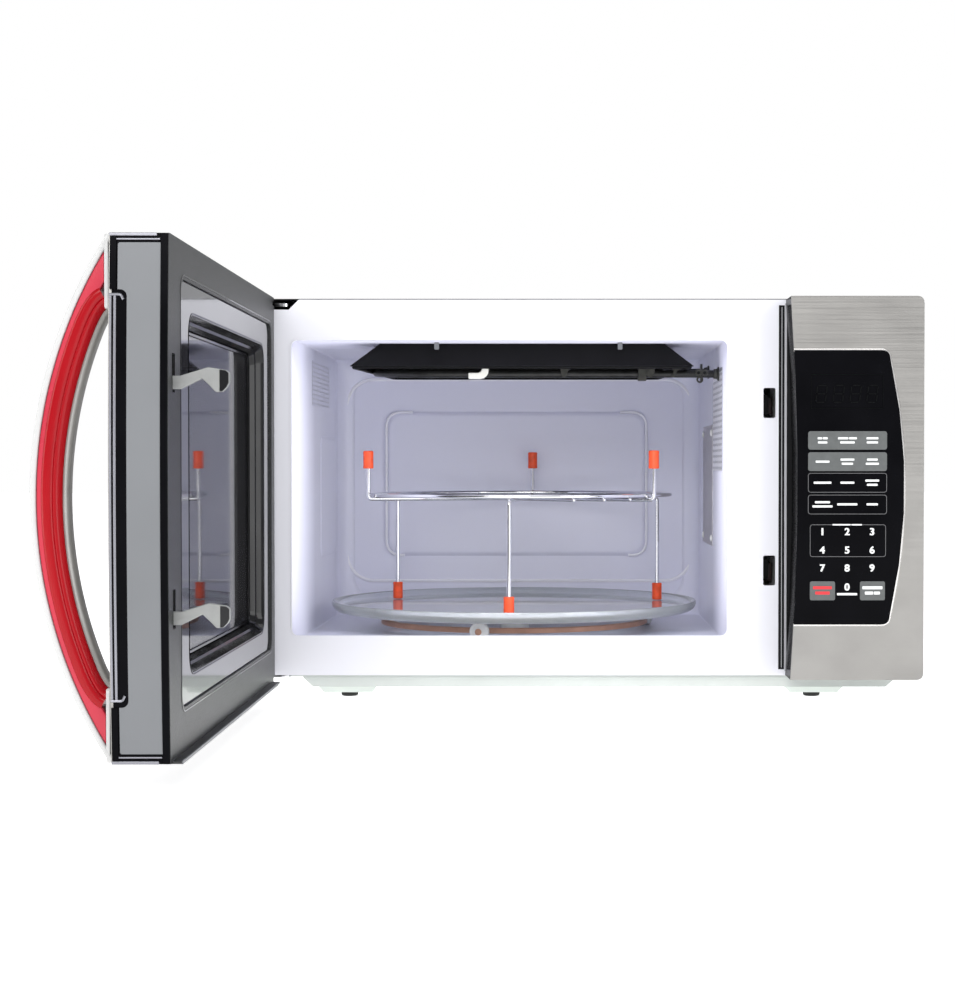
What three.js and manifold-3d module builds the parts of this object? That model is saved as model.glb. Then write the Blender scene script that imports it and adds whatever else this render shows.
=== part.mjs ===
// A countertop microwave oven with a grill, a side-hinged door, a turntable and a wire rack.
// Millimetres. X runs across the front, Y from the front plate to the back, Z up from the cavity's sill.
// The door stands open, and the finished group is moved so that its origin is under its middle.
import * as THREE from 'three';
import { ConvexGeometry } from 'three/addons/geometries/ConvexGeometry.js';
import { mergeVertices } from 'three/addons/utils/BufferGeometryUtils.js';
import Module from 'manifold-3d';

// ---------- driving dimensions ----------
const GAP = 0.3;
const OPENING = { half: 177, height: 240, corner: 5 };
const FRONT = { left: -211, right: 330, bottom: -32.4, top: 273.1, thick: 1.2 };
const CABINET = { left: -212, right: 330.6, top: 273.9, back: 385, sheet: 0.8 };
const CAVITY = { half: 179, back: 341, floor: -9, ceiling: 243, wall: 0.8, corner: 14 };
const BASE = { front: 8, left: -161, right: 308, slope: 8, flat: -42.7, boss: -50, shelf: -35.5, shelfFront: 30, sheet: 1 };
const FOOT = { radius: 7.15, bottom: -54.3, xs: [-135, 252], ys: [45, 340] };
const LATCH_SLOT = { left: 206.5, right: 216.5, zs: [[40.8, 65.3], [177, 201.6]] };

const PANEL = { left: 224.6, right: 330.6, bottom: -32.4, top: 273.1, front: -35, bow: 5.3, corner: 6 };
const INSERT = { bottom: 11.8, top: 230, right: 303.5, bow: 11.5, corner: 7 };
const DISPLAY = { left: 241, right: 297.5, bottom: 184, top: 210.5 };

const DOOR = { left: -212, right: 222.2, bottom: -36, top: 273.4, front: -35.1, back: -0.5, bow: 5.3 };
const COVER = { thick: 4.5, left: -184, right: 186, bottom: -8, top: 250.5, corner: 9 };
const RECESS = { left: -154, right: 154, bottom: 9, top: 232, depth: 14, corner: 14 };
const WINDOW = { left: -168, right: 152, bottom: 14, top: 226, corner: 16, bow: 8 };
const PIN = { x: -201.8, y: -13.2, radius: 3 };
const OPEN_ANGLE = 89.5;
const LIP = { reach: 6, bottom: -36, top: -34.6, start: -188 };

const HOOK = { x: 210.5, thick: 4.4, arm: 7.8, zs: [44.6, 183.1], slotBelow: 1.9, slotAbove: 20.5 };
const HANDLE = { bulge: 48.2, radius: 283, middle: 119, left: 196, right: 218, seat: 4.1, footTop: 229.5, footBottom: 8 };
const HANDLE_LAYERS = { trim: [0, 3.6], grip: [3.9, 13.4], rib: [13.3, 18.4], backing: [18.7, 21.5] };

const TURNTABLE = { x: 0, y: 171, radius: 164, under: 7.5, top: 13, rim: 18 };
const ROLLER = { radius: 8, width: 7, orbit: 127, bore: 1.7, axle: 1.5, head: 2.8, angles: [258, 18, 138] };
const RING = { inner: 114, outer: 120, bottom: -3, top: 1.5 };
const RACK = { x: 6.5, radius: 134, height: 112.5, wire: 1.9, foot: 13.3, footRadius: 136, tipTop: 151.6, tipRadius: 139.6 };
const TIP = { radius: 4.6, length: 15.8, bore: 2.6 };
const LOWER_LEGS = [23, 266.7, 150];
const UPPER_LEGS = [195, 86.7, 326];
const BARS = { angle: 302, spacing: 28, wire: 1.5, overhang: 3.5 };

const HOOD = { x: 9, topHalf: 121.5, rimHalf: 145.6, rimZ: 222.5, front: 62, back: 262, flare: 18, taper: 20, sheet: 1 };
const ELEMENT = { radius: 3.25, z: 217.5, rise: 7, left: -122, wall: 187, front: 95, back: 205 };
const MICA = { front: 159, back: 266, bottom: 66, top: 175, thick: 0.8 };
const WAVEGUIDE = { left: 180.1, right: 204, front: 160, back: 265, bottom: 70, top: 190 };
const FAN = { x: 262, z: 95, y: 338, radius: 50 };

// ---------- solids from three.js geometry, joined and cut with manifold ----------
const wasm = await Module();
wasm.setup();

// A closed three.js geometry as a manifold solid.
function solid(geometry) {
  const bare = geometry.index ? geometry.toNonIndexed() : geometry.clone();
  for (const name of Object.keys(bare.attributes)) {
    if (name !== 'position') bare.deleteAttribute(name);
  }
  const merged = mergeVertices(bare, 1e-4);
  const triVerts = new Uint32Array(merged.index.array);
  return new wasm.Manifold(new wasm.Mesh({ numProp: 3, vertProperties: merged.attributes.position.array, triVerts }));
}

function join(...solids) {
  return solids.reduce((whole, part) => whole.add(part));
}

function cut(whole, ...tools) {
  return tools.reduce((rest, tool) => rest.subtract(tool), whole);
}

// A box between two limits on each axis.
function block([x0, x1], [y0, y1], [z0, z1]) {
  const geometry = new THREE.BoxGeometry(x1 - x0, y1 - y0, z1 - z0);
  return solid(geometry.translate((x0 + x1) / 2, (y0 + y1) / 2, (z0 + z1) / 2));
}

// A cylinder from one point to another.
function rod(from, to, radius, sides = 16) {
  const start = new THREE.Vector3(...from);
  const end = new THREE.Vector3(...to);
  const along = end.clone().sub(start);
  const geometry = new THREE.CylinderGeometry(radius, radius, along.length(), sides);
  const up = new THREE.Vector3(0, 1, 0);
  geometry.applyQuaternion(new THREE.Quaternion().setFromUnitVectors(up, along.clone().normalize()));
  const middle = start.add(end).multiplyScalar(0.5);
  return solid(geometry.translate(middle.x, middle.y, middle.z));
}

function extrude(shape, depth, curveSegments) {
  return new THREE.ExtrudeGeometry(shape, { depth, bevelEnabled: false, curveSegments });
}

// An outline in X and Z, made solid from y0 to y1.
function upright(shape, y0, y1, curveSegments = 5) {
  return solid(extrude(shape, y1 - y0, curveSegments).rotateX(Math.PI / 2).translate(0, y1, 0));
}

// An outline in X and Y, made solid from z0 to z1.
function flat(shape, z0, z1, curveSegments = 5) {
  return solid(extrude(shape, z1 - z0, curveSegments).translate(0, 0, z0));
}

// An outline in Y and Z, made solid from x0 to x1.
function sideways(shape, x0, x1, curveSegments = 20) {
  const turn = new THREE.Matrix4().makeBasis(
    new THREE.Vector3(0, 1, 0),
    new THREE.Vector3(0, 0, 1),
    new THREE.Vector3(1, 0, 0),
  );
  return solid(extrude(shape, x1 - x0, curveSegments).applyMatrix4(turn).translate(x0, 0, 0));
}

// The hull of two level rectangles, each given as [x0, x1, y0, y1, z].
function frustum(lower, upper, taper = 0) {
  const corners = [];
  for (const [x0, x1, y0, y1, z] of [lower, upper]) {
    corners.push(new THREE.Vector3(x0, y0, z), new THREE.Vector3(x1, y0, z));
    corners.push(new THREE.Vector3(x0 + taper, y1, z), new THREE.Vector3(x1 - taper, y1, z));
  }
  return solid(new ConvexGeometry(corners));
}

// A rectangle with round corners.
function rounded(x0, x1, y0, y1, r) {
  const shape = new THREE.Shape();
  shape.moveTo(x0 + r, y0);
  shape.lineTo(x1 - r, y0);
  shape.absarc(x1 - r, y0 + r, r, -Math.PI / 2, 0);
  shape.lineTo(x1, y1 - r);
  shape.absarc(x1 - r, y1 - r, r, 0, Math.PI / 2);
  shape.lineTo(x0 + r, y1);
  shape.absarc(x0 + r, y1 - r, r, Math.PI / 2, Math.PI);
  shape.lineTo(x0, y0 + r);
  shape.absarc(x0 + r, y0 + r, r, Math.PI, Math.PI * 1.5);
  return shape;
}

// A rectangle whose left and right edges bow towards +X by the given amounts, with round right corners.
function bowed(x0, x1, z0, z1, leftBow, rightBow, r) {
  const middle = (z0 + z1) / 2;
  const shape = new THREE.Shape();
  shape.moveTo(x0, z0);
  shape.lineTo(x1 - r, z0);
  shape.quadraticCurveTo(x1, z0, x1, z0 + r);
  shape.quadraticCurveTo(x1 + 2 * rightBow, middle, x1, z1 - r);
  shape.quadraticCurveTo(x1, z1, x1 - r, z1);
  shape.lineTo(x0, z1);
  shape.quadraticCurveTo(x0 + 2 * leftBow, middle, x0, z0);
  return shape;
}

// ---------- finishes ----------
function finish(color, roughness, metalness = 0) {
  return new THREE.MeshStandardMaterial({ color, roughness, metalness });
}

const ENAMEL = finish(0xe8e8f2, 0.35);
const BLACK_PAINT = finish(0x151517, 0.5, 0.2);
const BLACK_PLASTIC = finish(0x1a1a1c, 0.45);
const GREY_PLASTIC = finish(0x55585a, 0.6);
const GLOSS_BLACK = finish(0x050506, 0.08);
const STEEL = finish(0xb4b4b0, 0.35, 0.9);
const CHROME = finish(0xd8d8da, 0.12, 1);
const ZINC = finish(0xc9ccc6, 0.4, 0.8);
const RED_PLASTIC = finish(0xd0061c, 0.15);
const WHITE_PLASTIC = finish(0xf2f2f0, 0.3);
const SILVER_PLASTIC = finish(0xb9bbb6, 0.35, 0.3);
const GLASS = new THREE.MeshStandardMaterial({ color: 0xcfe0da, roughness: 0.05, transparent: true, opacity: 0.35 });
const MICA_SHEET = finish(0xcbc6cf, 0.5);
const SILICONE = finish(0xe8421c, 0.5);
const TAN_PLASTIC = finish(0xa9795f, 0.5);
const CERAMIC = finish(0xf0efe9, 0.3);
const BOARD_GREEN = finish(0x2c6e3f, 0.5);
const COPPER = finish(0x9a5a2c, 0.4, 0.6);
const RUBBER = finish(0x1b1b1b, 0.8);

const oven = new THREE.Group();

// Adds one solid to a group as a named mesh.
function piece(group, name, body, material) {
  const made = body.getMesh();
  const geometry = new THREE.BufferGeometry();
  const position = new Float32Array(made.vertProperties);
  geometry.setAttribute('position', new THREE.BufferAttribute(position, 3));
  geometry.setIndex(new THREE.BufferAttribute(new Uint32Array(made.triVerts), 1));
  geometry.computeVertexNormals();
  const mesh = new THREE.Mesh(geometry, material);
  mesh.name = name;
  group.add(mesh);
}

// ---------- cabinet ----------
// The enamelled sheet round the cavity's mouth, with the latch slots and the hinge notch in its top left corner.
function frontPlate() {
  const outline = new THREE.Shape();
  outline.moveTo(FRONT.left, FRONT.bottom);
  outline.lineTo(FRONT.right, FRONT.bottom);
  outline.lineTo(FRONT.right, FRONT.top);
  outline.lineTo(-171, FRONT.top);
  outline.lineTo(-179, 265);
  outline.lineTo(FRONT.left, 265);
  outline.holes.push(rounded(-OPENING.half, OPENING.half, 0, OPENING.height, OPENING.corner));
  for (const [z0, z1] of LATCH_SLOT.zs) {
    outline.holes.push(rounded(LATCH_SLOT.left, LATCH_SLOT.right, z0, z1, 1.5));
  }
  outline.holes.push(rounded(246, 312, 40, 220, 6));
  return upright(outline, 0, FRONT.thick);
}

// The cavity's plan outline, open to the front.
function cavityPlan(half, front, back, r) {
  const plan = new THREE.Shape();
  plan.moveTo(-half, front);
  plan.lineTo(half, front);
  plan.lineTo(half, back - r);
  plan.absarc(half - r, back - r, r, 0, Math.PI / 2);
  plan.lineTo(-half + r, back);
  plan.absarc(-half + r, back - r, r, Math.PI / 2, Math.PI);
  return plan;
}

function cavityLiner() {
  const { half, back, floor, ceiling, wall, corner } = CAVITY;
  const front = FRONT.thick + GAP;
  const outside = flat(cavityPlan(half + wall, front, back + wall, corner + wall), floor - wall, ceiling + wall);
  const inside = flat(cavityPlan(half, front - 1, back, corner), floor, ceiling);
  const shaft = rod([TURNTABLE.x, TURNTABLE.y, floor - 5], [TURNTABLE.x, TURNTABLE.y, floor + 5], 8);
  const ends = [[ELEMENT.front, ELEMENT.z], [ELEMENT.back, ELEMENT.z + ELEMENT.rise]];
  const wallHoles = ends.map(([y, z]) => rod([half - 5, y, z], [half + 5, y, z], 5));
  const mouth = block([half - 5, half + 5], [MICA.front + 6, MICA.back - 6], [MICA.bottom + 6, MICA.top - 6]);
  return cut(outside, inside, shaft, mouth, ...wallHoles);
}

// The painted wrapper over the top and both sides.
function outerCover() {
  const { left, right, top, back, sheet } = CABINET;
  const bottom = BASE.shelf - BASE.sheet;
  const arch = new THREE.Shape();
  arch.moveTo(left, bottom);
  arch.lineTo(left + sheet, bottom);
  arch.lineTo(left + sheet, top - sheet);
  arch.lineTo(right - sheet, top - sheet);
  arch.lineTo(right - sheet, bottom);
  arch.lineTo(right, bottom);
  arch.lineTo(right, top);
  arch.lineTo(left, top);
  return upright(arch, FRONT.thick + GAP, back);
}

// The back sheet, with vent slots behind the fan and the cavity's outlet.
function rearPanel() {
  const { left, right, top, back, sheet } = CABINET;
  const inset = sheet + GAP;
  const y = [back - 1, back];
  const sheetBody = block([left + inset, right - inset], y, [BASE.shelf - BASE.sheet, top - inset]);
  const slots = [];
  for (let i = 0; i < 9; i++) {
    const x = FAN.x - 40 + i * 10;
    slots.push(block([x - 2, x + 2], [back - 3, back + 2], [FAN.z - 38, FAN.z + 38]));
  }
  for (let i = 0; i < 8; i++) {
    const x = -140 + i * 14;
    slots.push(block([x - 2.5, x + 2.5], [back - 3, back + 2], [170, 215]));
  }
  const gland = rod([295, back - 3, -12], [295, back + 2, -12], 8);
  return cut(sheetBody, gland, ...slots);
}

// The floor pan: a shallow trough with sloping sides and flanges, and four pressed tubs that carry the feet.
function basePan() {
  const { front, left, right, slope, flat: level, boss, shelf, shelfFront, sheet } = BASE;
  const back = CABINET.back - 1 - GAP;
  const trough = new THREE.Shape();
  trough.moveTo(left, level);
  trough.lineTo(right, level);
  trough.lineTo(right + slope, shelf);
  trough.lineTo(left - slope, shelf);
  const inside = new THREE.Shape();
  inside.moveTo(left + 0.4, level + sheet);
  inside.lineTo(right - 0.4, level + sheet);
  inside.lineTo(right + slope - 0.4, shelf + 1);
  inside.lineTo(left - slope + 0.4, shelf + 1);
  let pan = cut(upright(trough, front, back), upright(inside, front + sheet, back - sheet));
  const edge = CABINET.sheet + GAP;
  for (const [x0, x1] of [[CABINET.left + edge, left - slope + 2], [right + slope - 2, CABINET.right - edge]]) {
    pan = join(pan, block([x0, x1], [shelfFront, back], [shelf - sheet, shelf]));
  }
  for (const x of FOOT.xs) {
    for (const y of FOOT.ys) {
      const inner = [x - 24, x + 24, y - 18, y + 18];
      const tub = frustum([x - 20, x + 20, y - 14, y + 14, boss], [x - 26, x + 26, y - 20, y + 20, level + sheet]);
      const hollow = frustum([x - 18.8, x + 18.8, y - 12.8, y + 12.8, boss + sheet], [...inner, level + sheet + 1]);
      pan = cut(join(pan, tub), hollow, rod([x, y, boss - 1], [x, y, boss + 5], 3.3, 12));
    }
  }
  return pan;
}

function foot(x, y) {
  const pad = rod([x, y, FOOT.bottom], [x, y, BASE.boss - GAP], FOOT.radius, 20);
  return join(pad, rod([x, y, BASE.boss - 1], [x, y, BASE.boss + 4], 2.8, 12));
}

// A hinge plate with its pin. The plate's body lies behind the front plate, and its arm reaches out to the pin.
function hingeBracket(z0, z1, pinEnd) {
  const plan = new THREE.Shape();
  const reach = 5.8;
  plan.moveTo(PIN.x + reach, PIN.y);
  plan.lineTo(PIN.x + reach, -0.2);
  plan.lineTo(-184, -0.2);
  plan.absarc(-183.5, 4.5, 4.7, -Math.PI / 2, 0);
  plan.lineTo(-178.8, 24);
  plan.lineTo(PIN.x - reach, 24);
  plan.lineTo(PIN.x - reach, PIN.y);
  plan.absarc(PIN.x, PIN.y, reach, Math.PI, Math.PI * 2);
  const start = pinEnd < z0 ? z0 + 0.5 : z1 - 0.5;
  return join(flat(plan, z0, z1), rod([PIN.x, PIN.y, start], [PIN.x, PIN.y, pinEnd], PIN.radius));
}

// ---------- control panel ----------
function panelOutline(inset) {
  const { left, right, bottom, top, bow, corner } = PANEL;
  return bowed(left + inset, right - inset, bottom + inset, top - inset, bow, 0, corner);
}

// The black insert's outline, which runs out past the panel's left edge.
function insertOutline(inset) {
  const { bottom, top, right, bow, corner } = INSERT;
  return bowed(PANEL.left - 5, right - inset, bottom + inset, top - inset, 0, bow, corner);
}

// The plastic box behind the steel face, open at the back.
function controlHousing() {
  const front = PANEL.front + 2.5;
  const hollow = upright(panelOutline(2.2), front + 2, 5);
  const mouth = block([238, 300], [front - 2, front + 4], [30, 222]);
  return cut(upright(panelOutline(0), front, -GAP), hollow, mouth);
}

// The steel face: a bar above the keypad, a bar below it and a strip down its right side.
function controlFascia() {
  const face = upright(panelOutline(0), PANEL.front, PANEL.front + 2.2);
  return cut(face, upright(insertOutline(-GAP), PANEL.front - 1, PANEL.front + 4));
}

// The glossy keypad, flush with the panel's left edge, with an opening for the display window.
function keypadPanel() {
  const { left, right, bottom, top } = DISPLAY;
  const whole = upright(insertOutline(0), PANEL.front - 1, PANEL.front + 2.2);
  const pane = whole.intersect(upright(panelOutline(0), PANEL.front - 2, PANEL.front + 3));
  return cut(pane, block([left - GAP, right + GAP], [PANEL.front - 3, PANEL.front + 4], [bottom - GAP, top + GAP]));
}

function displayLens() {
  return block([DISPLAY.left, DISPLAY.right], [PANEL.front - 0.8, PANEL.front + 2.2], [DISPLAY.bottom, DISPLAY.top]);
}

function controlBoard() {
  const board = block([236, 318], [-23, -21.4], [4, 226]);
  const relay = block([246, 266], [-21.5, -8], [20, 46]);
  const transformer = block([276, 306], [-21.5, -6], [60, 92]);
  const display = block([242, 296], [-30, -22.9], [186, 208]);
  return join(board, relay, transformer, display);
}

// ---------- door, drawn shut ----------
function doorOutline(inset) {
  const { left, right, bottom, top, bow } = DOOR;
  return bowed(left + inset, right - inset, bottom + inset, top - inset, 0, bow, 2);
}

// The room that the hinge arms and pins need in the door's hinge edge.
function hingeClearance() {
  const x = [DOOR.left - 2, PIN.x + 7.4];
  const y = [PIN.y - 8.4, DOOR.back + 3];
  const above = block(x, y, [266.9, 270.7]);
  const below = block(x, y, [DOOR.bottom - 1, -32.2]);
  const upperPin = rod([PIN.x, PIN.y, 250], [PIN.x, PIN.y, 268], PIN.radius + 0.3);
  const lowerPin = rod([PIN.x, PIN.y, -34], [PIN.x, PIN.y, -14], PIN.radius + 0.3);
  return join(above, below, upperPin, lowerPin);
}

// Trims the inner corner of the hinge edge to an arc round the pin.
function hingeCorner() {
  const radius = DOOR.back - PIN.y - 0.1;
  const corner = block([DOOR.left - 5, PIN.x], [PIN.y, DOOR.back + 8], [DOOR.bottom - 2, DOOR.top + 2]);
  return cut(corner, rod([PIN.x, PIN.y, DOOR.bottom - 3], [PIN.x, PIN.y, DOOR.top + 3], radius, 32));
}

// The moulded frame that forms the door's four edges, with the latch channel and the lip under the door.
function doorFrame() {
  const front = DOOR.front + 2;
  const back = DOOR.back - COVER.thick - GAP;
  const ring = upright(doorOutline(0), front, back);
  const middle = upright(rounded(COVER.left - 6, COVER.right + 6, COVER.bottom - 6, COVER.top + 6, 6), front - 1, back + 1);
  const channel = block([HOOK.x - 3.5, HOOK.x + 3.5], [-30, back + 1], [38, 214]);
  return cut(ring, middle, channel, hingeClearance(), hingeCorner());
}

// The grey moulding that covers the choke, the widest band of the door's inner face.
function chokeCover() {
  const y0 = DOOR.back - COVER.thick;
  const ring = upright(doorOutline(0), y0, DOOR.back);
  const opening = upright(rounded(COVER.left, COVER.right, COVER.bottom, COVER.top, COVER.corner), y0 - 1, 3);
  const lip = block([LIP.start, DOOR.right - 3], [y0, DOOR.back + LIP.reach], [LIP.bottom, LIP.top]);
  const across = [HOOK.x - 3.2, HOOK.x + 3.2];
  const slots = HOOK.zs.map((z) => block(across, [y0 - 1, 3], [z - HOOK.slotBelow, z + HOOK.slotAbove]));
  return cut(join(ring, lip), opening, hingeClearance(), hingeCorner(), ...slots);
}

// The pressed metal panel: a flat sealing face, the choke wall round it and a stepped recess to the screen.
function chokePanel() {
  const face = DOOR.back - 1.5;
  const depth = face - RECESS.depth;
  const edge = GAP + 0.2;
  const { left, right, bottom, top, corner } = COVER;
  const outer = rounded(left + edge, right - edge, bottom + edge, top - edge, corner - edge);
  const hollow = rounded(left + edge + 1, right - edge - 1, bottom + edge + 1, top - edge - 1, corner - edge - 1);
  const sheet = upright(outer, depth - 8, face);
  const behind = upright(hollow, depth - 10, face - 1);
  const r = RECESS;
  const pan = upright(rounded(r.left - 1, r.right + 1, r.bottom - 1, r.top + 1, r.corner + 1), depth, face - 0.5);
  const recess = upright(rounded(r.left, r.right, r.bottom, r.top, r.corner), depth + 1, face + 1);
  const sight = upright(rounded(r.left + 9, r.right - 9, r.bottom + 9, r.top - 9, r.corner - 6), depth - 1, face);
  return cut(join(cut(sheet, behind), pan), recess, sight);
}

// A sheet seated in the recess, between two depths behind the sealing face.
function recessSheet(inset, near, far) {
  const face = DOOR.back - 1.5;
  const r = RECESS;
  const outline = rounded(r.left + inset, r.right - inset, r.bottom + inset, r.top - inset, r.corner - inset);
  return upright(outline, face - far, face - near);
}

function windowOutline(inset) {
  const { left, right, bottom, top, corner, bow } = WINDOW;
  return bowed(left + inset, right - inset, bottom + inset, top - inset, 0, bow, corner);
}

// The steel front face of the door, with its window opening.
function doorFront() {
  const y1 = DOOR.front + 2 - GAP;
  const face = upright(doorOutline(0), DOOR.front, y1);
  return cut(face, upright(windowOutline(-GAP), DOOR.front - 1, y1 + 1));
}

function doorWindow() {
  return upright(windowOutline(0), DOOR.front + 0.3, DOOR.front + 3.3);
}

// The sliding latch: a bar inside the door's free edge with two hooks that reach out of its inner face.
function latchSlider() {
  const x = [HOOK.x - HOOK.thick / 2, HOOK.x + HOOK.thick / 2];
  let slider = block(x, [-27, -12], [44, 200]);
  const profile = [
    [-13, 0], [4, 0], [16.5, 6.2], [20, 3], [24.6, -1.8], [28.5, -1.6], [31.3, 1], [32.5, 3.5],
    [32.5, 9.5], [30.5, 11.2], [20.2, 12.8], [4, HOOK.arm], [-13, HOOK.arm],
  ];
  for (const z of HOOK.zs) {
    const hook = new THREE.Shape(profile.map(([y, rise]) => new THREE.Vector2(y, z + rise)));
    slider = join(slider, sideways(hook, ...x));
  }
  return slider;
}

function latchSpring() {
  const coil = rod([HOOK.x, -19.5, 200.5], [HOOK.x, -19.5, 213.5], 2.6, 12);
  return cut(coil, rod([HOOK.x, -19.5, 199], [HOOK.x, -19.5, 215], 1.8, 12));
}

// A band of the bowed handle at two depths from its outermost arc, as wide as x, and ending at y = face.
function handleLayer([outer, inner], x, face) {
  const { bulge, radius, middle } = HANDLE;
  const centre = DOOR.front - bulge + radius;
  const reach = centre - face;
  const far = Math.acos(reach / (radius - outer));
  const near = Math.acos(reach / (radius - inner));
  const shape = new THREE.Shape();
  shape.absarc(centre, middle, radius - outer, Math.PI - far, Math.PI + far);
  shape.absarc(centre, middle, radius - inner, Math.PI + near, Math.PI - near, true);
  return sideways(shape, ...x);
}

// The white outer band, with a flat foot at each end that is screwed to the door.
function handleTrim() {
  const x = [HANDLE.left, HANDLE.right];
  const y = [DOOR.front - HANDLE.seat, DOOR.front - GAP];
  const limits = block(x, [-200, 0], [DOOR.bottom, DOOR.top]);
  const band = handleLayer(HANDLE_LAYERS.trim, x, y[1]).intersect(limits);
  return join(band, block(x, y, [HANDLE.footTop, DOOR.top]), block(x, y, [DOOR.bottom, HANDLE.footBottom]));
}

// The red grip: a full-width band with a narrower rib behind it.
function handleGrip() {
  const face = DOOR.front - HANDLE.seat - GAP;
  const band = handleLayer(HANDLE_LAYERS.grip, [HANDLE.left + 0.5, HANDLE.right - 0.5], face);
  return join(band, handleLayer(HANDLE_LAYERS.rib, [HANDLE.left + 4, HANDLE.right - 4], face));
}

function handleBacking() {
  return handleLayer(HANDLE_LAYERS.backing, [HANDLE.left + 5.5, HANDLE.right - 5.5], DOOR.front - HANDLE.seat - GAP);
}

// ---------- turntable ----------
// A solid of revolution about the turntable's axis, from a profile of [radius, height] points.
function turned(profile, sides) {
  const points = profile.map(([r, z]) => new THREE.Vector2(r, z));
  const geometry = new THREE.LatheGeometry([...points, points[0]], sides);
  return solid(geometry.rotateX(Math.PI / 2).translate(TURNTABLE.x, TURNTABLE.y, 0));
}

function onCircle(radius, degrees, z) {
  const angle = THREE.MathUtils.degToRad(degrees);
  return [TURNTABLE.x + radius * Math.cos(angle), TURNTABLE.y + radius * Math.sin(angle), z];
}

// The glass plate: a flat well that curves up to a rim, with three driving lugs underneath.
function glassPlate() {
  const { radius, under, top, rim } = TURNTABLE;
  const dish = turned([
    [0, under], [radius - 11, under], [radius - 4.5, under + 1.4], [radius - 1.2, under + 4.5],
    [radius, rim - 2.5], [radius - 0.8, rim],
    [radius - 3.6, rim], [radius - 6, rim - 2.5], [radius - 11, top], [0, top],
  ], 56);
  const lugs = [30, 150, 270].map((a) => rod(onCircle(19, a, under - 5), onCircle(19, a, under + 1), 4, 10));
  return join(dish, ...lugs);
}

// The coupler that turns the plate: a hub with three arms and a shaft down to the motor.
function driveCoupler() {
  const centre = (z) => [TURNTABLE.x, TURNTABLE.y, z];
  const hub = rod(centre(CAVITY.floor + 0.5), centre(TURNTABLE.under - 0.5), 13, 24);
  const shaft = rod(centre(-24), centre(CAVITY.floor + 1), 4);
  const level = TURNTABLE.under - 5.7;
  const arms = [90, 210, 330].map((a) => rod(onCircle(0, a, level), onCircle(25, a, level), 4.6, 12));
  return join(hub, shaft, ...arms);
}

function turntableMotor() {
  const centre = (z) => [TURNTABLE.x, TURNTABLE.y, z];
  const can = rod(centre(-38), centre(-17), 24, 28);
  const ears = block([-31, 31], [TURNTABLE.y - 6, TURNTABLE.y + 6], [-19, -17]);
  return cut(join(can, ears), rod(centre(-26), centre(-15), 4.6));
}

// The ring that keeps the three rollers apart, with a headed axle pointing out to each.
function rollerRing() {
  const { inner, outer, bottom, top } = RING;
  const z = CAVITY.floor + ROLLER.radius;
  const end = ROLLER.orbit + ROLLER.width / 2 + GAP;
  let ring = turned([[inner, bottom], [outer, bottom], [outer, top], [inner, top]], 48);
  for (const a of ROLLER.angles) {
    const axle = rod(onCircle(inner + 2, a, z), onCircle(end + 1, a, z), ROLLER.axle, 12);
    const head = rod(onCircle(end, a, z), onCircle(end + 1.6, a, z), ROLLER.head, 12);
    ring = join(ring, axle, head);
  }
  return ring;
}

function roller(degrees) {
  const z = CAVITY.floor + ROLLER.radius;
  const half = ROLLER.width / 2;
  const along = (r) => onCircle(ROLLER.orbit + r, degrees, z);
  const tyre = rod(along(-half), along(half), ROLLER.radius, 24);
  return cut(tyre, rod(along(-half - 1), along(half + 1), ROLLER.bore, 12));
}

// ---------- rack ----------
function rackPoint(radius, degrees, z) {
  const angle = THREE.MathUtils.degToRad(degrees);
  return [RACK.x + radius * Math.cos(angle), TURNTABLE.y + radius * Math.sin(angle), z];
}

// The welded wire rack: a ring on three crossing wires and three parallel bars. One end of each crossing wire turns
// up outside the ring as an upper leg, and the other end turns down as a lower leg.
function rackFrame() {
  const { radius, height, wire, foot: base, footRadius, tipTop, tipRadius } = RACK;
  const below = height - 3.5;
  let frame = solid(new THREE.TorusGeometry(radius, wire, 8, 48).translate(RACK.x, TURNTABLE.y, height));
  UPPER_LEGS.forEach((upper, i) => {
    const raised = rackPoint(tipRadius, upper, below);
    const lowered = rackPoint(footRadius, LOWER_LEGS[i], below);
    const knees = [raised, lowered].map((at) => solid(new THREE.SphereGeometry(wire, 8, 6).translate(...at)));
    const up = rod(raised, rackPoint(tipRadius, upper, tipTop - 3), wire, 8);
    const down = rod(lowered, rackPoint(footRadius, LOWER_LEGS[i], base + 3), wire, 8);
    frame = join(frame, rod(raised, lowered, wire, 8), up, down, ...knees);
  });
  for (const offset of [-BARS.spacing, 0, BARS.spacing]) {
    const spread = THREE.MathUtils.radToDeg(Math.asin(offset / radius));
    const reach = radius + BARS.overhang;
    const ends = [BARS.angle + spread, BARS.angle + 180 - spread].map((a) => rackPoint(reach, a, below + 0.4));
    frame = join(frame, rod(...ends, BARS.wire, 8));
  }
  return frame;
}

// A silicone cap on the end of a leg, bored from the end that faces the rack.
function rackTip(radius, degrees, z0, openEnd) {
  const at = (z) => rackPoint(radius, degrees, z);
  const z1 = z0 + TIP.length;
  const bore = openEnd === 'top' ? rod(at(z0 + 2.6), at(z1 + 1), TIP.bore, 10) : rod(at(z0 - 1), at(z1 - 2.6), TIP.bore, 10);
  return cut(rod(at(z0), at(z1), TIP.radius, 14), bore);
}

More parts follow.
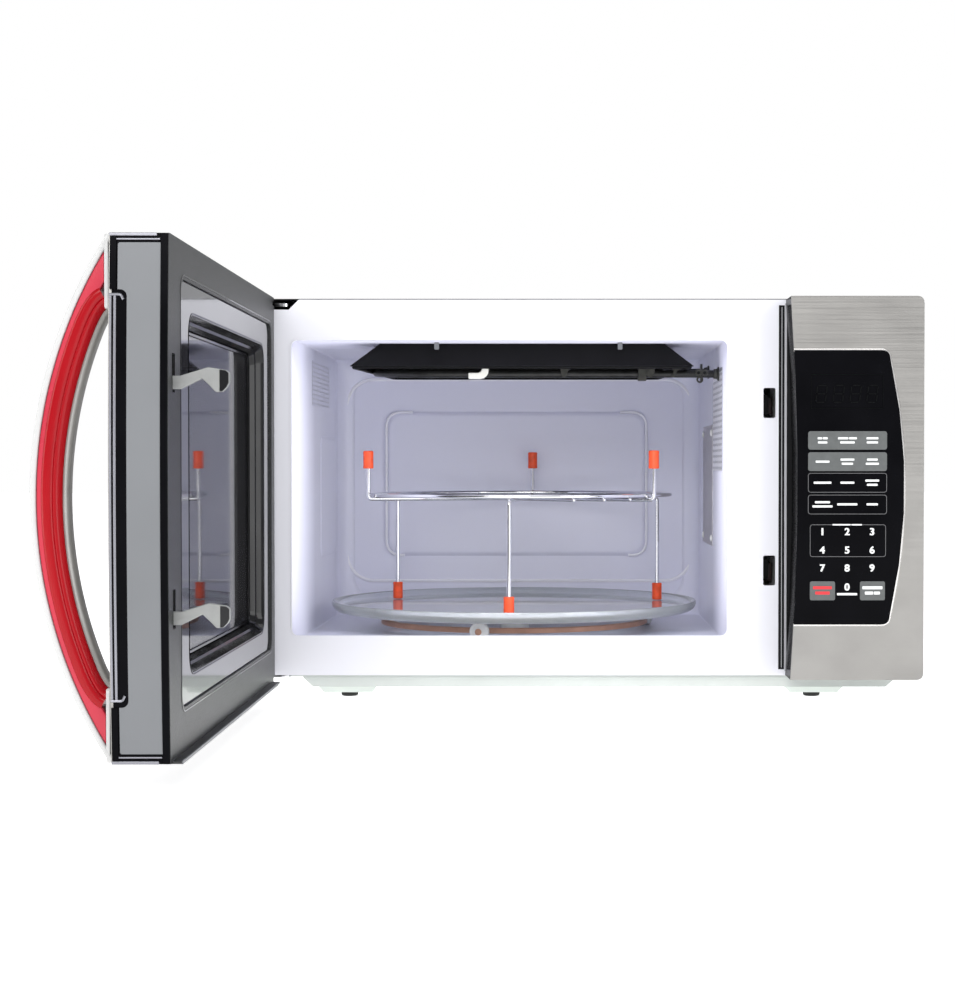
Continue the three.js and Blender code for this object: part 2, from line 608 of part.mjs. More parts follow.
// ---------- grill ----------
function grillReflector() {
  const { x, topHalf, rimHalf, rimZ, front, back, flare, taper, sheet } = HOOD;
  const top = CAVITY.ceiling - GAP;
  const outside = frustum(
    [x - rimHalf, x + rimHalf, front, back, rimZ],
    [x - topHalf, x + topHalf, front + flare, back - flare, top],
    taper,
  );
  const inside = frustum(
    [x - rimHalf + sheet, x + rimHalf - sheet, front + sheet, back - sheet, rimZ - 0.01],
    [x - topHalf + sheet, x + topHalf - sheet, front + flare + sheet, back - flare - sheet, top - sheet],
    taper,
  );
  const level = ELEMENT.z + ELEMENT.rise;
  const notch = rod([x + topHalf - taper, ELEMENT.back, level], [x + rimHalf, ELEMENT.back, level], 5);
  return cut(outside, inside, notch);
}

// The tubular heater: one long loop whose two ends pass through the right wall.
function grillElement() {
  const { radius, z, rise, left, wall, front, back } = ELEMENT;
  const bend = (back - front) / 2;
  const path = new THREE.CurvePath();
  const near = new THREE.Vector3(wall, front, z);
  const nearTurn = new THREE.Vector3(left + bend, front, z);
  const farTurn = new THREE.Vector3(left + bend, back, z + rise);
  const pull = bend * 4 / 3;
  path.add(new THREE.LineCurve3(near, nearTurn));
  path.add(new THREE.CubicBezierCurve3(
    nearTurn,
    new THREE.Vector3(left + bend - pull, front, z),
    new THREE.Vector3(left + bend - pull, back, z + rise),
    farTurn,
  ));
  path.add(new THREE.LineCurve3(farTurn, new THREE.Vector3(wall, back, z + rise)));
  const section = new THREE.Shape();
  section.absarc(0, 0, radius, 0, Math.PI * 2);
  return solid(new THREE.ExtrudeGeometry(section, { steps: 36, extrudePath: path, bevelEnabled: false, curveSegments: 5 }));
}

// A hanger with an eye round the heater and a stem up to the reflector.
function elementHook(x, y, width, top) {
  const eye = block([x - width / 2, x + width / 2], [y - 5.5, y + 5.5], [ELEMENT.z - 6, ELEMENT.z + 7]);
  const stem = block([x - 1.2, x + 1.2], [y - 2, y + 2], [ELEMENT.z + 6, top]);
  const hole = rod([x - width, y, ELEMENT.z], [x + width, y, ELEMENT.z], ELEMENT.radius + 0.6, 14);
  return cut(join(eye, stem), hole);
}

// ---------- parts behind the walls ----------
function waveguideCover() {
  const x = [CAVITY.half - GAP - MICA.thick, CAVITY.half - GAP];
  return block(x, [MICA.front, MICA.back], [MICA.bottom, MICA.top]);
}

function waveguide() {
  const { left, right, front, back, bottom, top } = WAVEGUIDE;
  const duct = block([left, right], [front, back], [bottom, top]);
  const inside = block([left - 1, right - 1], [front + 1, back - 1], [bottom + 1, top - 1]);
  return cut(duct, inside, rod([right - 3, 213, 130], [right + 3, 213, 130], 10));
}

function magnetron() {
  const start = WAVEGUIDE.right + GAP;
  const yoke = block([start, start + 80], [172, 254], [92, 168]);
  const windows = [0, 1, 2, 3, 4].map((i) => block([start + 14 + i * 10, start + 18 + i * 10], [170, 196], [98, 162]));
  const antenna = rod([WAVEGUIDE.left + 8, 213, 130], [start + 1, 213, 130], 8);
  return join(cut(yoke, ...windows), antenna);
}

function transformer() {
  const core = block([216, 306], [70, 140], [BASE.flat + BASE.sheet + GAP, 34]);
  const coil = block([232, 290], [52, 158], [-30, 22]);
  return join(core, coil);
}

function capacitor() {
  const can = rod([214, 300, BASE.flat + BASE.sheet + GAP], [214, 300, 46], 24, 24);
  return join(can, block([208, 212], [296, 304], [45, 54]), block([218, 222], [296, 304], [45, 54]));
}

function fanMotor() {
  const can = rod([FAN.x, FAN.y + 20, FAN.z], [FAN.x, CABINET.back - 4, FAN.z], 26, 24);
  return join(can, rod([FAN.x, FAN.y - 6, FAN.z], [FAN.x, FAN.y + 21, FAN.z], 2.2, 12));
}

function fanShroud() {
  const plate = block([FAN.x - 56, FAN.x + 56], [FAN.y + 6, FAN.y + 8], [FAN.z - 56, FAN.z + 56]);
  return cut(plate, rod([FAN.x, FAN.y, FAN.z], [FAN.x, FAN.y + 14, FAN.z], FAN.radius + 3.5, 32));
}

// The impeller: a bored hub and five pitched blades.
function fanBlade() {
  const hub = rod([FAN.x, FAN.y - 9, FAN.z], [FAN.x, FAN.y + 9, FAN.z], 11, 20);
  const bore = rod([FAN.x, FAN.y - 7, FAN.z], [FAN.x, FAN.y + 10, FAN.z], 2.8, 12);
  const blades = [0, 1, 2, 3, 4].map((i) => {
    const blade = new THREE.BoxGeometry(FAN.radius - 10, 1.6, 24);
    blade.rotateX(Math.PI / 5).translate(FAN.radius / 2 + 5, 0, 0).rotateY(i * Math.PI * 0.4);
    return solid(blade.translate(FAN.x, FAN.y, FAN.z));
  });
  return cut(join(hub, ...blades), bore);
}

function cavityLamp() {
  const wall = CAVITY.half + CAVITY.wall + GAP;
  const bulb = rod([wall + 4, 112, 178], [wall + 24, 112, 178], 9, 16);
  return join(bulb, block([wall + 22, wall + 38], [98, 126], [164, 192]));
}

// The moulded holder behind the latch slots, which carries the door switches.
function latchBoard() {
  const web = block([218.6, 221], [2, 62], [22, 222]);
  const shelves = [32, 70, 168, 206].map((z) => block([205, 219], [2, 62], [z, z + 2]));
  return join(web, ...shelves);
}

function doorSwitch(z) {
  const body = block([207, 217.6], [38, 58], [z - 7, z + 7]);
  return join(body, block([210, 213], [36.5, 39], [z - 2, z + 2]));
}

function cordGland() {
  const bush = rod([295, CABINET.back - 7, -12], [295, CABINET.back + 3.5, -12], 7.6, 18);
  const flange = rod([295, CABINET.back + GAP, -12], [295, CABINET.back + 2.3, -12], 11, 18);
  return cut(join(bush, flange), rod([295, CABINET.back - 9, -12], [295, CABINET.back + 6, -12], 3.6, 12));
}

// ---------- assembly ----------
function addCabinet() {
  piece(oven, 'front_plate', frontPlate(), ENAMEL);
  piece(oven, 'cavity_liner', cavityLiner(), ENAMEL);
  piece(oven, 'outer_cover', outerCover(), BLACK_PAINT);
  piece(oven, 'rear_panel', rearPanel(), ZINC);
  piece(oven, 'base_pan', basePan(), ZINC);
  const places = ['front_left', 'front_right', 'rear_left', 'rear_right'];
  places.forEach((place, i) => {
    piece(oven, `foot_${place}`, foot(FOOT.xs[i % 2], FOOT.ys[Math.floor(i / 2)]), RUBBER);
  });
  piece(oven, 'hinge_bracket_upper', hingeBracket(267.5, 270, 256), CHROME);
  piece(oven, 'hinge_bracket_lower', hingeBracket(-34.3, -32.7, -20), CHROME);
}

function addControlPanel() {
  piece(oven, 'control_housing', controlHousing(), BLACK_PLASTIC);
  piece(oven, 'control_fascia', controlFascia(), STEEL);
  piece(oven, 'keypad_panel', keypadPanel(), GLOSS_BLACK);
  piece(oven, 'display_lens', displayLens(), GLOSS_BLACK);
  piece(oven, 'control_board', controlBoard(), BOARD_GREEN);
}

// The door's pieces are drawn shut and turned about the hinge pins.
function addDoor() {
  const hinge = new THREE.Group();
  hinge.position.set(PIN.x, PIN.y, 0);
  hinge.rotation.z = -THREE.MathUtils.degToRad(OPEN_ANGLE);
  const door = new THREE.Group();
  door.position.set(-PIN.x, -PIN.y, 0);
  hinge.add(door);
  oven.add(hinge);
  piece(door, 'door_frame', doorFrame(), BLACK_PLASTIC);
  piece(door, 'door_front', doorFront(), STEEL);
  piece(door, 'door_window', doorWindow(), GLOSS_BLACK);
  piece(door, 'choke_cover', chokeCover(), GREY_PLASTIC);
  piece(door, 'choke_panel', chokePanel(), GLOSS_BLACK);
  piece(door, 'door_screen', recessSheet(1, RECESS.depth - 1.6, RECESS.depth - 1.1), BLACK_PAINT);
  piece(door, 'door_film', recessSheet(0.6, RECESS.depth - 2.6, RECESS.depth - 2), GLASS);
  piece(door, 'latch_slider', latchSlider(), GREY_PLASTIC);
  piece(door, 'latch_spring', latchSpring(), ZINC);
  piece(door, 'handle_trim', handleTrim(), WHITE_PLASTIC);
  piece(door, 'handle_grip', handleGrip(), RED_PLASTIC);
  piece(door, 'handle_backing', handleBacking(), SILVER_PLASTIC);
}

function addTurntable() {
  piece(oven, 'turntable_motor', turntableMotor(), ZINC);
  piece(oven, 'drive_coupler', driveCoupler(), WHITE_PLASTIC);
  piece(oven, 'glass_turntable', glassPlate(), GLASS);
  piece(oven, 'roller_ring', rollerRing(), TAN_PLASTIC);
  ROLLER.angles.forEach((a, i) => piece(oven, `roller_${i + 1}`, roller(a), WHITE_PLASTIC));
}

function addRack() {
  piece(oven, 'rack_frame', rackFrame(), CHROME);
  LOWER_LEGS.forEach((a, i) => {
    piece(oven, `rack_foot_${i + 1}`, rackTip(RACK.footRadius, a, RACK.foot, 'top'), SILICONE);
  });
  UPPER_LEGS.forEach((a, i) => {
    piece(oven, `rack_tip_${i + 1}`, rackTip(RACK.tipRadius, a, RACK.tipTop - TIP.length, 'bottom'), SILICONE);
  });
}

function addGrill() {
  piece(oven, 'grill_reflector', grillReflector(), BLACK_PAINT);
  piece(oven, 'grill_element', grillElement(), BLACK_PAINT);
  const hoodTop = CAVITY.ceiling - HOOD.sheet - 2 * GAP;
  piece(oven, 'element_hook_white', elementHook(-29, ELEMENT.front, 11, hoodTop), CERAMIC);
  piece(oven, 'element_hook_grey', elementHook(112, ELEMENT.front, 7, hoodTop), GREY_PLASTIC);
  piece(oven, 'element_clip', elementHook(163, ELEMENT.front, 4, CAVITY.ceiling - GAP), ZINC);
}

function addInternals() {
  piece(oven, 'waveguide_cover', waveguideCover(), MICA_SHEET);
  piece(oven, 'waveguide', waveguide(), ZINC);
  piece(oven, 'magnetron', magnetron(), ZINC);
  piece(oven, 'transformer', transformer(), COPPER);
  piece(oven, 'capacitor', capacitor(), ZINC);
  piece(oven, 'fan_motor', fanMotor(), ZINC);
  piece(oven, 'fan_shroud', fanShroud(), BLACK_PLASTIC);
  piece(oven, 'fan_blade', fanBlade(), BLACK_PLASTIC);
  piece(oven, 'cavity_lamp', cavityLamp(), WHITE_PLASTIC);
  piece(oven, 'latch_board', latchBoard(), WHITE_PLASTIC);
  piece(oven, 'door_switch_lower', doorSwitch(HOOK.zs[0] + 5), RED_PLASTIC);
  piece(oven, 'door_switch_upper', doorSwitch(HOOK.zs[1] + 5), RED_PLASTIC);
  piece(oven, 'cord_gland', cordGland(), RUBBER);
}

addCabinet();
addControlPanel();
addDoor();
addTurntable();
addRack();
addGrill();
addInternals();

// The origin: the middle of the footprint, on the surface that the feet stand on.
const bounds = new THREE.Box3().setFromObject(oven);
oven.position.set(-(bounds.min.x + bounds.max.x) / 2, -(bounds.min.y + bounds.max.y) / 2, -bounds.min.z);

export default oven;
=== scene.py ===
import math

import bmesh
import bpy
from mathutils import Matrix, Vector


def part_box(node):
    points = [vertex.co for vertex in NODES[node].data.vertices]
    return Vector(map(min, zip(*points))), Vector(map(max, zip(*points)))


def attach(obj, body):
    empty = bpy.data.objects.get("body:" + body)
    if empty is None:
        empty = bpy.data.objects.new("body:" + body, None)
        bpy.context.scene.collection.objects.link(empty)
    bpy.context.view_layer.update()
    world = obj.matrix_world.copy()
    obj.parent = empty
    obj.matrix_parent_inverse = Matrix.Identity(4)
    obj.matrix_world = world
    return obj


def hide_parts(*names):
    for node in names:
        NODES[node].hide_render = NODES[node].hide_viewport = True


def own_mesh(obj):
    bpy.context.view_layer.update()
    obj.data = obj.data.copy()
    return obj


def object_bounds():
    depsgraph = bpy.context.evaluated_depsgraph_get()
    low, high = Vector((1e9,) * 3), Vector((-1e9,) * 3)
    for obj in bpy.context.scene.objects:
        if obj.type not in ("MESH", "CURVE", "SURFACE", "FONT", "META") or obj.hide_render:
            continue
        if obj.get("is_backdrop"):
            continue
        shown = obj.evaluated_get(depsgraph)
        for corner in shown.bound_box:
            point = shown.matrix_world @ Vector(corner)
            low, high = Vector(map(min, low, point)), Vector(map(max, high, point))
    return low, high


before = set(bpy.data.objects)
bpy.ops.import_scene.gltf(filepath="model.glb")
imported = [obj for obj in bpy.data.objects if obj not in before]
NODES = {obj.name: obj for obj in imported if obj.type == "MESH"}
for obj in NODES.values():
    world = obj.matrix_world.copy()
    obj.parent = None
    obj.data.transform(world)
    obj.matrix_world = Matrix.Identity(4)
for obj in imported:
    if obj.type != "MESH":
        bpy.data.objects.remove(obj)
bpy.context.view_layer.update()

# Looks for the microwave oven: finishes, fine detail and the studio. Lengths are millimetres; the lamps are
# placed in metres.

# ---------- two working spaces ----------
# MODEL: X across the front, Y from the front plate to the back, Z up from the cavity's sill.
# SHUT: the same for the door's pieces, drawn with the door shut and turned open about the hinge pins.
# The origin is at the middle of the sill, in the front plate's face: 211 mm right of the plate's lower left
# corner and 32.4 mm above it.
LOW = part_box("front_plate")[0]
ORIGIN = Vector((LOW.x + 0.211, LOW.y, LOW.z + 0.0324))
MODEL = Matrix.Translation(ORIGIN) @ Matrix.Scale(0.001, 4)
PIN = Vector((-201.8, -13.2, 0))
TURN = Matrix.Rotation(math.radians(-89.5), 4, "Z")
SHUT = MODEL @ Matrix.Translation(PIN) @ TURN @ Matrix.Translation(-PIN)

DOOR = {"right": 222.2, "front": -35.1}
PANEL = {"left": 224.6, "front": -35}
EDGE_BOW = {"middle": 119.5, "half": 154.7, "rise": 5.3}
COVER = {"left": -212.05, "right": 330.65, "top": 273.95, "rear": 385.0}
CAVITY = {"wall": 178.35, "bottom": -9, "top": 243, "back": 340.7}
LATCH_SLOTS = ((40.8, 65.3), (177, 201.6))
HEATER = {"radius": 3.25, "front": (95, 217.5), "rear": (205, 224.5)}


# ---------- materials ----------
def shader_of(name, colour, rough, metal, extra):
    mat = bpy.data.materials.new(name)
    mat.use_nodes = True
    shader = mat.node_tree.nodes["Principled BSDF"]
    shader.inputs["Base Color"].default_value = (*colour, 1)
    shader.inputs["Roughness"].default_value = rough
    shader.inputs["Metallic"].default_value = metal
    for socket, value in extra.items():
        shader.inputs[socket].default_value = value
    return mat, mat.node_tree, shader


def noise(tree, scale, detail, stretch):
    coords = tree.nodes.new("ShaderNodeTexCoord")
    fit = tree.nodes.new("ShaderNodeMapping")
    fit.inputs["Scale"].default_value = stretch
    tree.links.new(coords.outputs["Object"], fit.inputs["Vector"])
    field = tree.nodes.new("ShaderNodeTexNoise")
    field.inputs["Scale"].default_value = scale
    field.inputs["Detail"].default_value = detail
    tree.links.new(fit.outputs["Vector"], field.inputs["Vector"])
    return field.outputs["Fac"]


def spread(tree, factor, low, high, start=0.3, stop=0.7):
    node = tree.nodes.new("ShaderNodeMapRange")
    for socket, value in zip(("From Min", "From Max", "To Min", "To Max"), (start, stop, low, high)):
        node.inputs[socket].default_value = value
    tree.links.new(factor, node.inputs["Value"])
    return node.outputs["Result"]


def tint(tree, factor, dark, light):
    node = tree.nodes.new("ShaderNodeMix")
    node.data_type = "RGBA"
    node.inputs[6].default_value = (*dark, 1)
    node.inputs[7].default_value = (*light, 1)
    tree.links.new(factor, node.inputs[0])
    return node.outputs[2]


def raise_by(tree, shader, height, strength, distance):
    bump = tree.nodes.new("ShaderNodeBump")
    bump.inputs["Strength"].default_value = strength
    bump.inputs["Distance"].default_value = distance
    tree.links.new(height, bump.inputs["Height"])
    tree.links.new(bump.outputs["Normal"], shader.inputs["Normal"])


def material(name, colour, rough, metal, cloud, grain, other=None):
    """A finish with cloudy colour and roughness, and a fine grain in its surface."""
    other = dict(other or {})
    stretch = other.pop("stretch", (1, 1, 1))
    rough_var = other.pop("rough_var", 0.04)
    mat, tree, shader = shader_of(other.pop("called", name), colour, rough, metal, other)
    large = spread(tree, noise(tree, cloud[0], 3, stretch), 0, 1)
    dark = [c * (1 - cloud[1]) for c in colour]
    light = [min(1, c * (1 + cloud[1])) for c in colour]
    tree.links.new(tint(tree, large, dark, light), shader.inputs["Base Color"])
    tree.links.new(spread(tree, large, max(0.01, rough - rough_var), rough + rough_var, 0, 1),
        shader.inputs["Roughness"])
    raise_by(tree, shader, noise(tree, grain[0], 2, stretch), grain[1], grain[2] / 1000)
    return mat


def brushed(name, colour, rough, direction, cloud, streak):
    """Brushed steel: long fine streaks along one axis over soft cloudy patches."""
    mat, tree, shader = shader_of(name, colour, rough, 1.0, {})
    lines = [1800, 1800, 1800]
    lines[direction] = 14
    fine = noise(tree, 1, 3, lines)
    patches = noise(tree, 16, 4, (1, 1, 1.3))
    dark = [c * (1 - cloud) for c in colour]
    light = [min(1, c * (1 + cloud)) for c in colour]
    base = tint(tree, spread(tree, patches, 0, 1, 0.35, 0.65), dark, light)
    over = tree.nodes.new("ShaderNodeMix")
    over.data_type = "RGBA"
    over.blend_type = "MULTIPLY"
    over.inputs[0].default_value = 1
    tree.links.new(base, over.inputs[6])
    tree.links.new(tint(tree, fine, [1 - streak] * 3, [1, 1, 1]), over.inputs[7])
    tree.links.new(over.outputs[2], shader.inputs["Base Color"])
    tree.links.new(spread(tree, fine, rough - 0.06, rough + 0.1), shader.inputs["Roughness"])
    raise_by(tree, shader, fine, 0.25, 0.00004)
    return mat


def perforated(name, colour, pitch, radius):
    """A glossy dark sheet with a staggered grid of fine round holes in the XZ plane of the shut door; the
    holes are not cut but painted near-black, painted shade seen through them.
    """
    mat, tree, shader = shader_of(name, colour, 0.25, 0.3, {})
    coords = tree.nodes.new("ShaderNodeTexCoord")
    split = tree.nodes.new("ShaderNodeSeparateXYZ")
    tree.links.new(coords.outputs["Object"], split.inputs[0])

    def step(op, a, b=None):
        node = tree.nodes.new("ShaderNodeMath")
        node.operation = op
        for i, value in enumerate((a, b)):
            if value is None:
                continue
            if isinstance(value, (int, float)):
                node.inputs[i].default_value = value
            else:
                tree.links.new(value, node.inputs[i])
        return node.outputs[0]

    def distance(shift):
        squares = []
        for axis in ("Y", "Z"):
            cell = step("ADD", step("DIVIDE", split.outputs[axis], pitch), shift)
            off = step("SUBTRACT", step("FRACT", cell), 0.5)
            squares.append(step("MULTIPLY", off, off))
        return step("SQRT", step("ADD", squares[0], squares[1]))

    near = step("MINIMUM", distance(0), distance(0.5))
    hole = step("LESS_THAN", near, radius / pitch)
    # The holes are painted near-black: painted shade in place of openings.
    tree.links.new(tint(tree, hole, colour, (0.001, 0.001, 0.001)), shader.inputs["Base Color"])
    tree.links.new(spread(tree, hole, 0.2, 0.9, 0, 1), shader.inputs["Roughness"])
    raise_by(tree, shader, step("SUBTRACT", 1, hole), 0.6, 0.0003)
    return mat


SPECULAR, COAT, COAT_ROUGH = "Specular IOR Level", "Coat Weight", "Coat Roughness"
# Each row: colour, roughness, metal, cloud (size, share), grain (size, strength, depth), and other values.
LOOKS = {
    "enamel": ((0.87, 0.87, 0.93), 0.28, 0, (9, 0.001), (260, 0.06, 0.06),
        {"rough_var": 0.004, "called": "white_enamel"}),
    # A darker, bluer copy of the white enamel for the cavity's pieces: painted shade inside the cavity.
    "cavity_enamel_painted_shade": ((0.765, 0.77, 0.90), 0.25, 0, (9, 0.003), (260, 0.08, 0.08), {"rough_var": 0.01}),
    "black_paint": ((0.014, 0.014, 0.016), 0.46, 0, (40, 0.2), (900, 0.35, 0.12)),
    "zinc_steel": ((0.6, 0.62, 0.6), 0.36, 0.85, (60, 0.07), (500, 0.2, 0.04), {"called": "zinc_sheet"}),
    "base_paint": ((0.66, 0.70, 0.67), 0.4, 0, (18, 0.05), (700, 0.15, 0.05)),
    "black_plastic": ((0.005, 0.005, 0.006), 0.36, 0, (30, 0.2), (2200, 0.25, 0.05), {SPECULAR: 0.2}),
    "gloss_black": ((0.0035, 0.0035, 0.0045), 0.12, 0, (30, 0.2), (300, 0.02, 0.02), {SPECULAR: 0.03}),
    "choke_grey": ((0.022, 0.023, 0.023), 0.36, 0, (900, 0.4), (1100, 0.9, 0.3), {SPECULAR: 0.4}),
    "dark_glass": ((0.004, 0.004, 0.005), 0.05, 0, (20, 0.2), (60, 0.02, 0.02),
        {COAT: 0.2, COAT_ROUGH: 0.03, SPECULAR: 0.25}),
    "seal_enamel": ((0.035, 0.035, 0.042), 0.09, 0.3, (14, 0.12), (180, 0.06, 0.06),
        {COAT: 0.35, COAT_ROUGH: 0.04}),
    # Grey for the thin lines on and beside the black strip by the control panel: painted highlights.
    "grey_painted_highlight": ((0.5, 0.5, 0.53), 0.3, 0, (60, 0.05), (900, 0.1, 0.03)),
    "housing_black": ((0.004, 0.004, 0.005), 0.2, 0, (30, 0.2), (300, 0.03, 0.02), {SPECULAR: 0.02}),
    # Near-black for the door's recess walls, gaps, slot rims and hook faces: painted shade, darker than the
    # panel, cover and hooks they belong to.
    "painted_shade_black": ((0.004, 0.004, 0.005), 0.14, 0, (30, 0.2), (300, 0.1, 0.05), {SPECULAR: 0.35}),
    "hook_grey": ((0.27, 0.275, 0.27), 0.38, 0, (120, 0.08), (1800, 0.3, 0.06)),
    "chrome": ((0.83, 0.83, 0.85), 0.09, 1.0, (60, 0.04), (800, 0.05, 0.02), {"rough_var": 0.03}),
    "red_gloss": ((0.33, 0.0005, 0.005), 0.2, 0, (18, 0.05), (120, 0.03, 0.03),
        {COAT: 0.12, COAT_ROUGH: 0.05, SPECULAR: 0.2}),
    # A lighter copy of the handle's red for its web: the red plastic with painted sheen.
    "red_with_painted_sheen": ((0.50, 0.02, 0.045), 0.3, 0, (18, 0.05), (1200, 0.1, 0.03)),
    "white_gloss": ((0.56, 0.56, 0.555), 0.2, 0, (18, 0.02), (300, 0.04, 0.03)),
    "silver_plastic": ((0.34, 0.335, 0.32), 0.33, 0.35, (60, 0.08), (1400, 0.3, 0.05)),
    # Grey for the door edge's panel, thin highlight lines and the hood's tabs: a painted reflection on the
    # edge's dark plastic and painted highlights on the lines.
    "grey_and_painted_sheen": ((0.165, 0.172, 0.182), 0.42, 0, (12, 0.05), (1600, 0.3, 0.05)),
    # Silver for the door edge's steel strips and steps, the steel's own, and for its dark plastic flanges
    # and lines: there a painted sheen.
    "edge_silver_and_painted_sheen": ((0.26, 0.26, 0.29), 0.25, 0.5, (12, 0.12), (900, 0.2, 0.04)),
    "tan_plastic": ((0.50, 0.27, 0.18), 0.45, 0, (80, 0.12), (1500, 0.3, 0.06)),
    "white_plastic": ((0.86, 0.86, 0.84), 0.36, 0, (60, 0.03), (1500, 0.2, 0.05)),
    "silicone": ((0.84, 0.085, 0.02), 0.42, 0, (220, 0.16), (1800, 0.35, 0.08)),
    "reflector_black": ((0.0035, 0.0035, 0.004), 0.55, 0, (60, 0.3), (900, 0.5, 0.1), {SPECULAR: 0.15}),
    "element_black": ((0.022, 0.022, 0.022), 0.38, 0.4, (140, 0.35), (1200, 0.5, 0.06)),
    "clip_steel": ((0.055, 0.055, 0.05), 0.35, 0.6, (160, 0.3), (900, 0.4, 0.05)),
    "ceramic": ((0.88, 0.88, 0.83), 0.22, 0, (120, 0.05), (700, 0.15, 0.05)),
    "mica": ((0.42, 0.40, 0.44), 0.4, 0, (160, 0.16), (900, 0.6, 0.08)),
    "circuit_board": ((0.05, 0.22, 0.09), 0.4, 0, (400, 0.5), (900, 0.6, 0.3)),
    "copper_core": ((0.30, 0.13, 0.06), 0.42, 0.5, (140, 0.4), (700, 0.6, 0.2), {"stretch": (1, 1, 4)}),
    "rubber_black": ((0.02, 0.02, 0.02), 0.75, 0, (160, 0.25), (1600, 0.5, 0.1)),
    "switch_red": ((0.03, 0.005, 0.005), 0.3, 0, (150, 0.12), (1400, 0.2, 0.04)),
    "key_grey": ((0.105, 0.112, 0.112), 0.4, 0, (200, 0.08), (1800, 0.3, 0.04)),
    "key_line": ((0.12, 0.12, 0.125), 0.5, 0, (200, 0.1), (1800, 0.2, 0.02)),
    "print_white": ((0.85, 0.86, 0.86), 0.5, 0, (300, 0.04), (1800, 0.2, 0.02)),
    "print_red": ((0.75, 0.03, 0.04), 0.5, 0, (300, 0.06), (1800, 0.2, 0.02)),
    "print_faint": ((0.006, 0.0065, 0.007), 0.3, 0, (300, 0.1), (1800, 0.2, 0.02), {SPECULAR: 0.03}),
    "glass": ((0.94, 0.975, 0.965), 0.03, 0, (20, 0.01), (220, 0.05, 0.08),
        {"rough_var": 0.01, "Transmission Weight": 0.86, "IOR": 1.46, "called": "plate_glass"}),
    "film": ((0.02, 0.02, 0.026), 0.03, 0, (20, 0.02), (60, 0.02, 0.04),
        {"rough_var": 0.01, "Alpha": 0.42, SPECULAR: 0.8, COAT: 1.0, COAT_ROUGH: 0.02,
        "called": "clear_film"}),
    # Grey for sheets behind the cavity's perforations: painted shade seen through the holes.
    "painted_shade_behind_holes": ((0.30, 0.30, 0.34), 0.5, 0, (90, 0.1), (900, 0.2, 0.05)),
    # Near-black for vent slots and screw recesses: painted shade where there are openings and hollows.
    "painted_hole_shade": ((0.06, 0.06, 0.07), 0.6, 0, (90, 0.2), (900, 0.2, 0.05)),
}
FINISH = {key: material(key, *look) for key, look in LOOKS.items()}
FINISH["brushed_steel"] = brushed("brushed_steel", (0.36, 0.35, 0.335), 0.36, 0, 0.07, 0.06)
# A brighter copy of the brushed steel for the bevels around the insert and the window: painted highlight.
FINISH["steel_painted_highlight"] = brushed("steel_painted_highlight", (0.86, 0.84, 0.82), 0.16, 2, 0.04, 0.05)
FINISH["screen"] = perforated("screen_sheet", (0.016, 0.016, 0.02), 0.0022, 0.00075)


# ---------- mesh helpers ----------
def place(name, bm, finish, body, space=MODEL, bevel=0.0, sharp=38, slot=None, replaces=()):
    """A bmesh in millimetres becomes a named piece that rides on a body."""
    bmesh.ops.remove_doubles(bm, verts=bm.verts, dist=0.001)
    bmesh.ops.recalc_face_normals(bm, faces=bm.faces)
    bm.transform(space)
    mesh = bpy.data.meshes.new(name)
    bm.to_mesh(mesh)
    bm.free()
    for face in mesh.polygons:
        face.use_smooth = True
    mesh.set_sharp_from_angle(angle=math.radians(sharp))
    mesh.materials.append(FINISH[finish])
    piece = bpy.data.objects.new(name, mesh)
    bpy.context.scene.collection.objects.link(piece)
    if bevel:
        round_edges(piece, bevel, sharp)
    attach(piece, body)
    if replaces:
        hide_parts(*replaces)
    return piece


def fixed(name, bm, finish, **more):
    """A piece that stays with the cabinet."""
    return place(name, bm, finish, "cabinet", **more)


def on_door(name, bm, finish, **more):
    """A piece drawn on the shut door."""
    return place(name, bm, finish, "door", SHUT, **more)


def round_edges(piece, width, angle):
    bevel = piece.modifiers.new("edges", "BEVEL")
    bevel.width = width / 1000
    bevel.segments = 2
    bevel.limit_method = "ANGLE"
    bevel.angle_limit = math.radians(angle)
    bevel.harden_normals = True


def rounded(x0, x1, y0, y1, r, steps=6):
    """A rectangle with round corners, anticlockwise."""
    points = []
    for cx, cy, start in ((x1 - r, y0 + r, -90), (x1 - r, y1 - r, 0), (x0 + r, y1 - r, 90),
            (x0 + r, y0 + r, 180)):
        for i in range(steps + 1):
            a = math.radians(start + 90 * i / steps)
            points.append((cx + r * math.cos(a), cy + r * math.sin(a)))
    return points


def at(plane, a, b, depth):
    return {"xz": (a, depth, b), "yz": (depth, a, b), "xy": (a, b, depth)}[plane]


def loft(rings, caps=True, closed=True):
    """Skins a list of rings with equal counts of 3D points."""
    bm = bmesh.new()
    made = [[bm.verts.new(p) for p in ring] for ring in rings]
    for a, b in zip(made, made[1:]):
        n = len(a)
        for i in range(n if closed else n - 1):
            bm.faces.new((a[i], a[(i + 1) % n], b[(i + 1) % n], b[i]))
    if caps:
        bm.faces.new(made[0])
        bm.faces.new(made[-1])
    return bm


def prism(outline, low, high, plane="xz"):
    return loft([[at(plane, a, b, d) for a, b in outline] for d in (low, high)])


def bar(x0, x1, z0, z1, low, high, plane="xz"):
    """A flat block with square corners."""
    return prism([(x0, z0), (x1, z0), (x1, z1), (x0, z1)], low, high, plane)


def pad(sides, low, high, plane="xz"):
    """A flat block with round corners, from the numbers that rounded() takes."""
    return prism(rounded(*sides), low, high, plane)


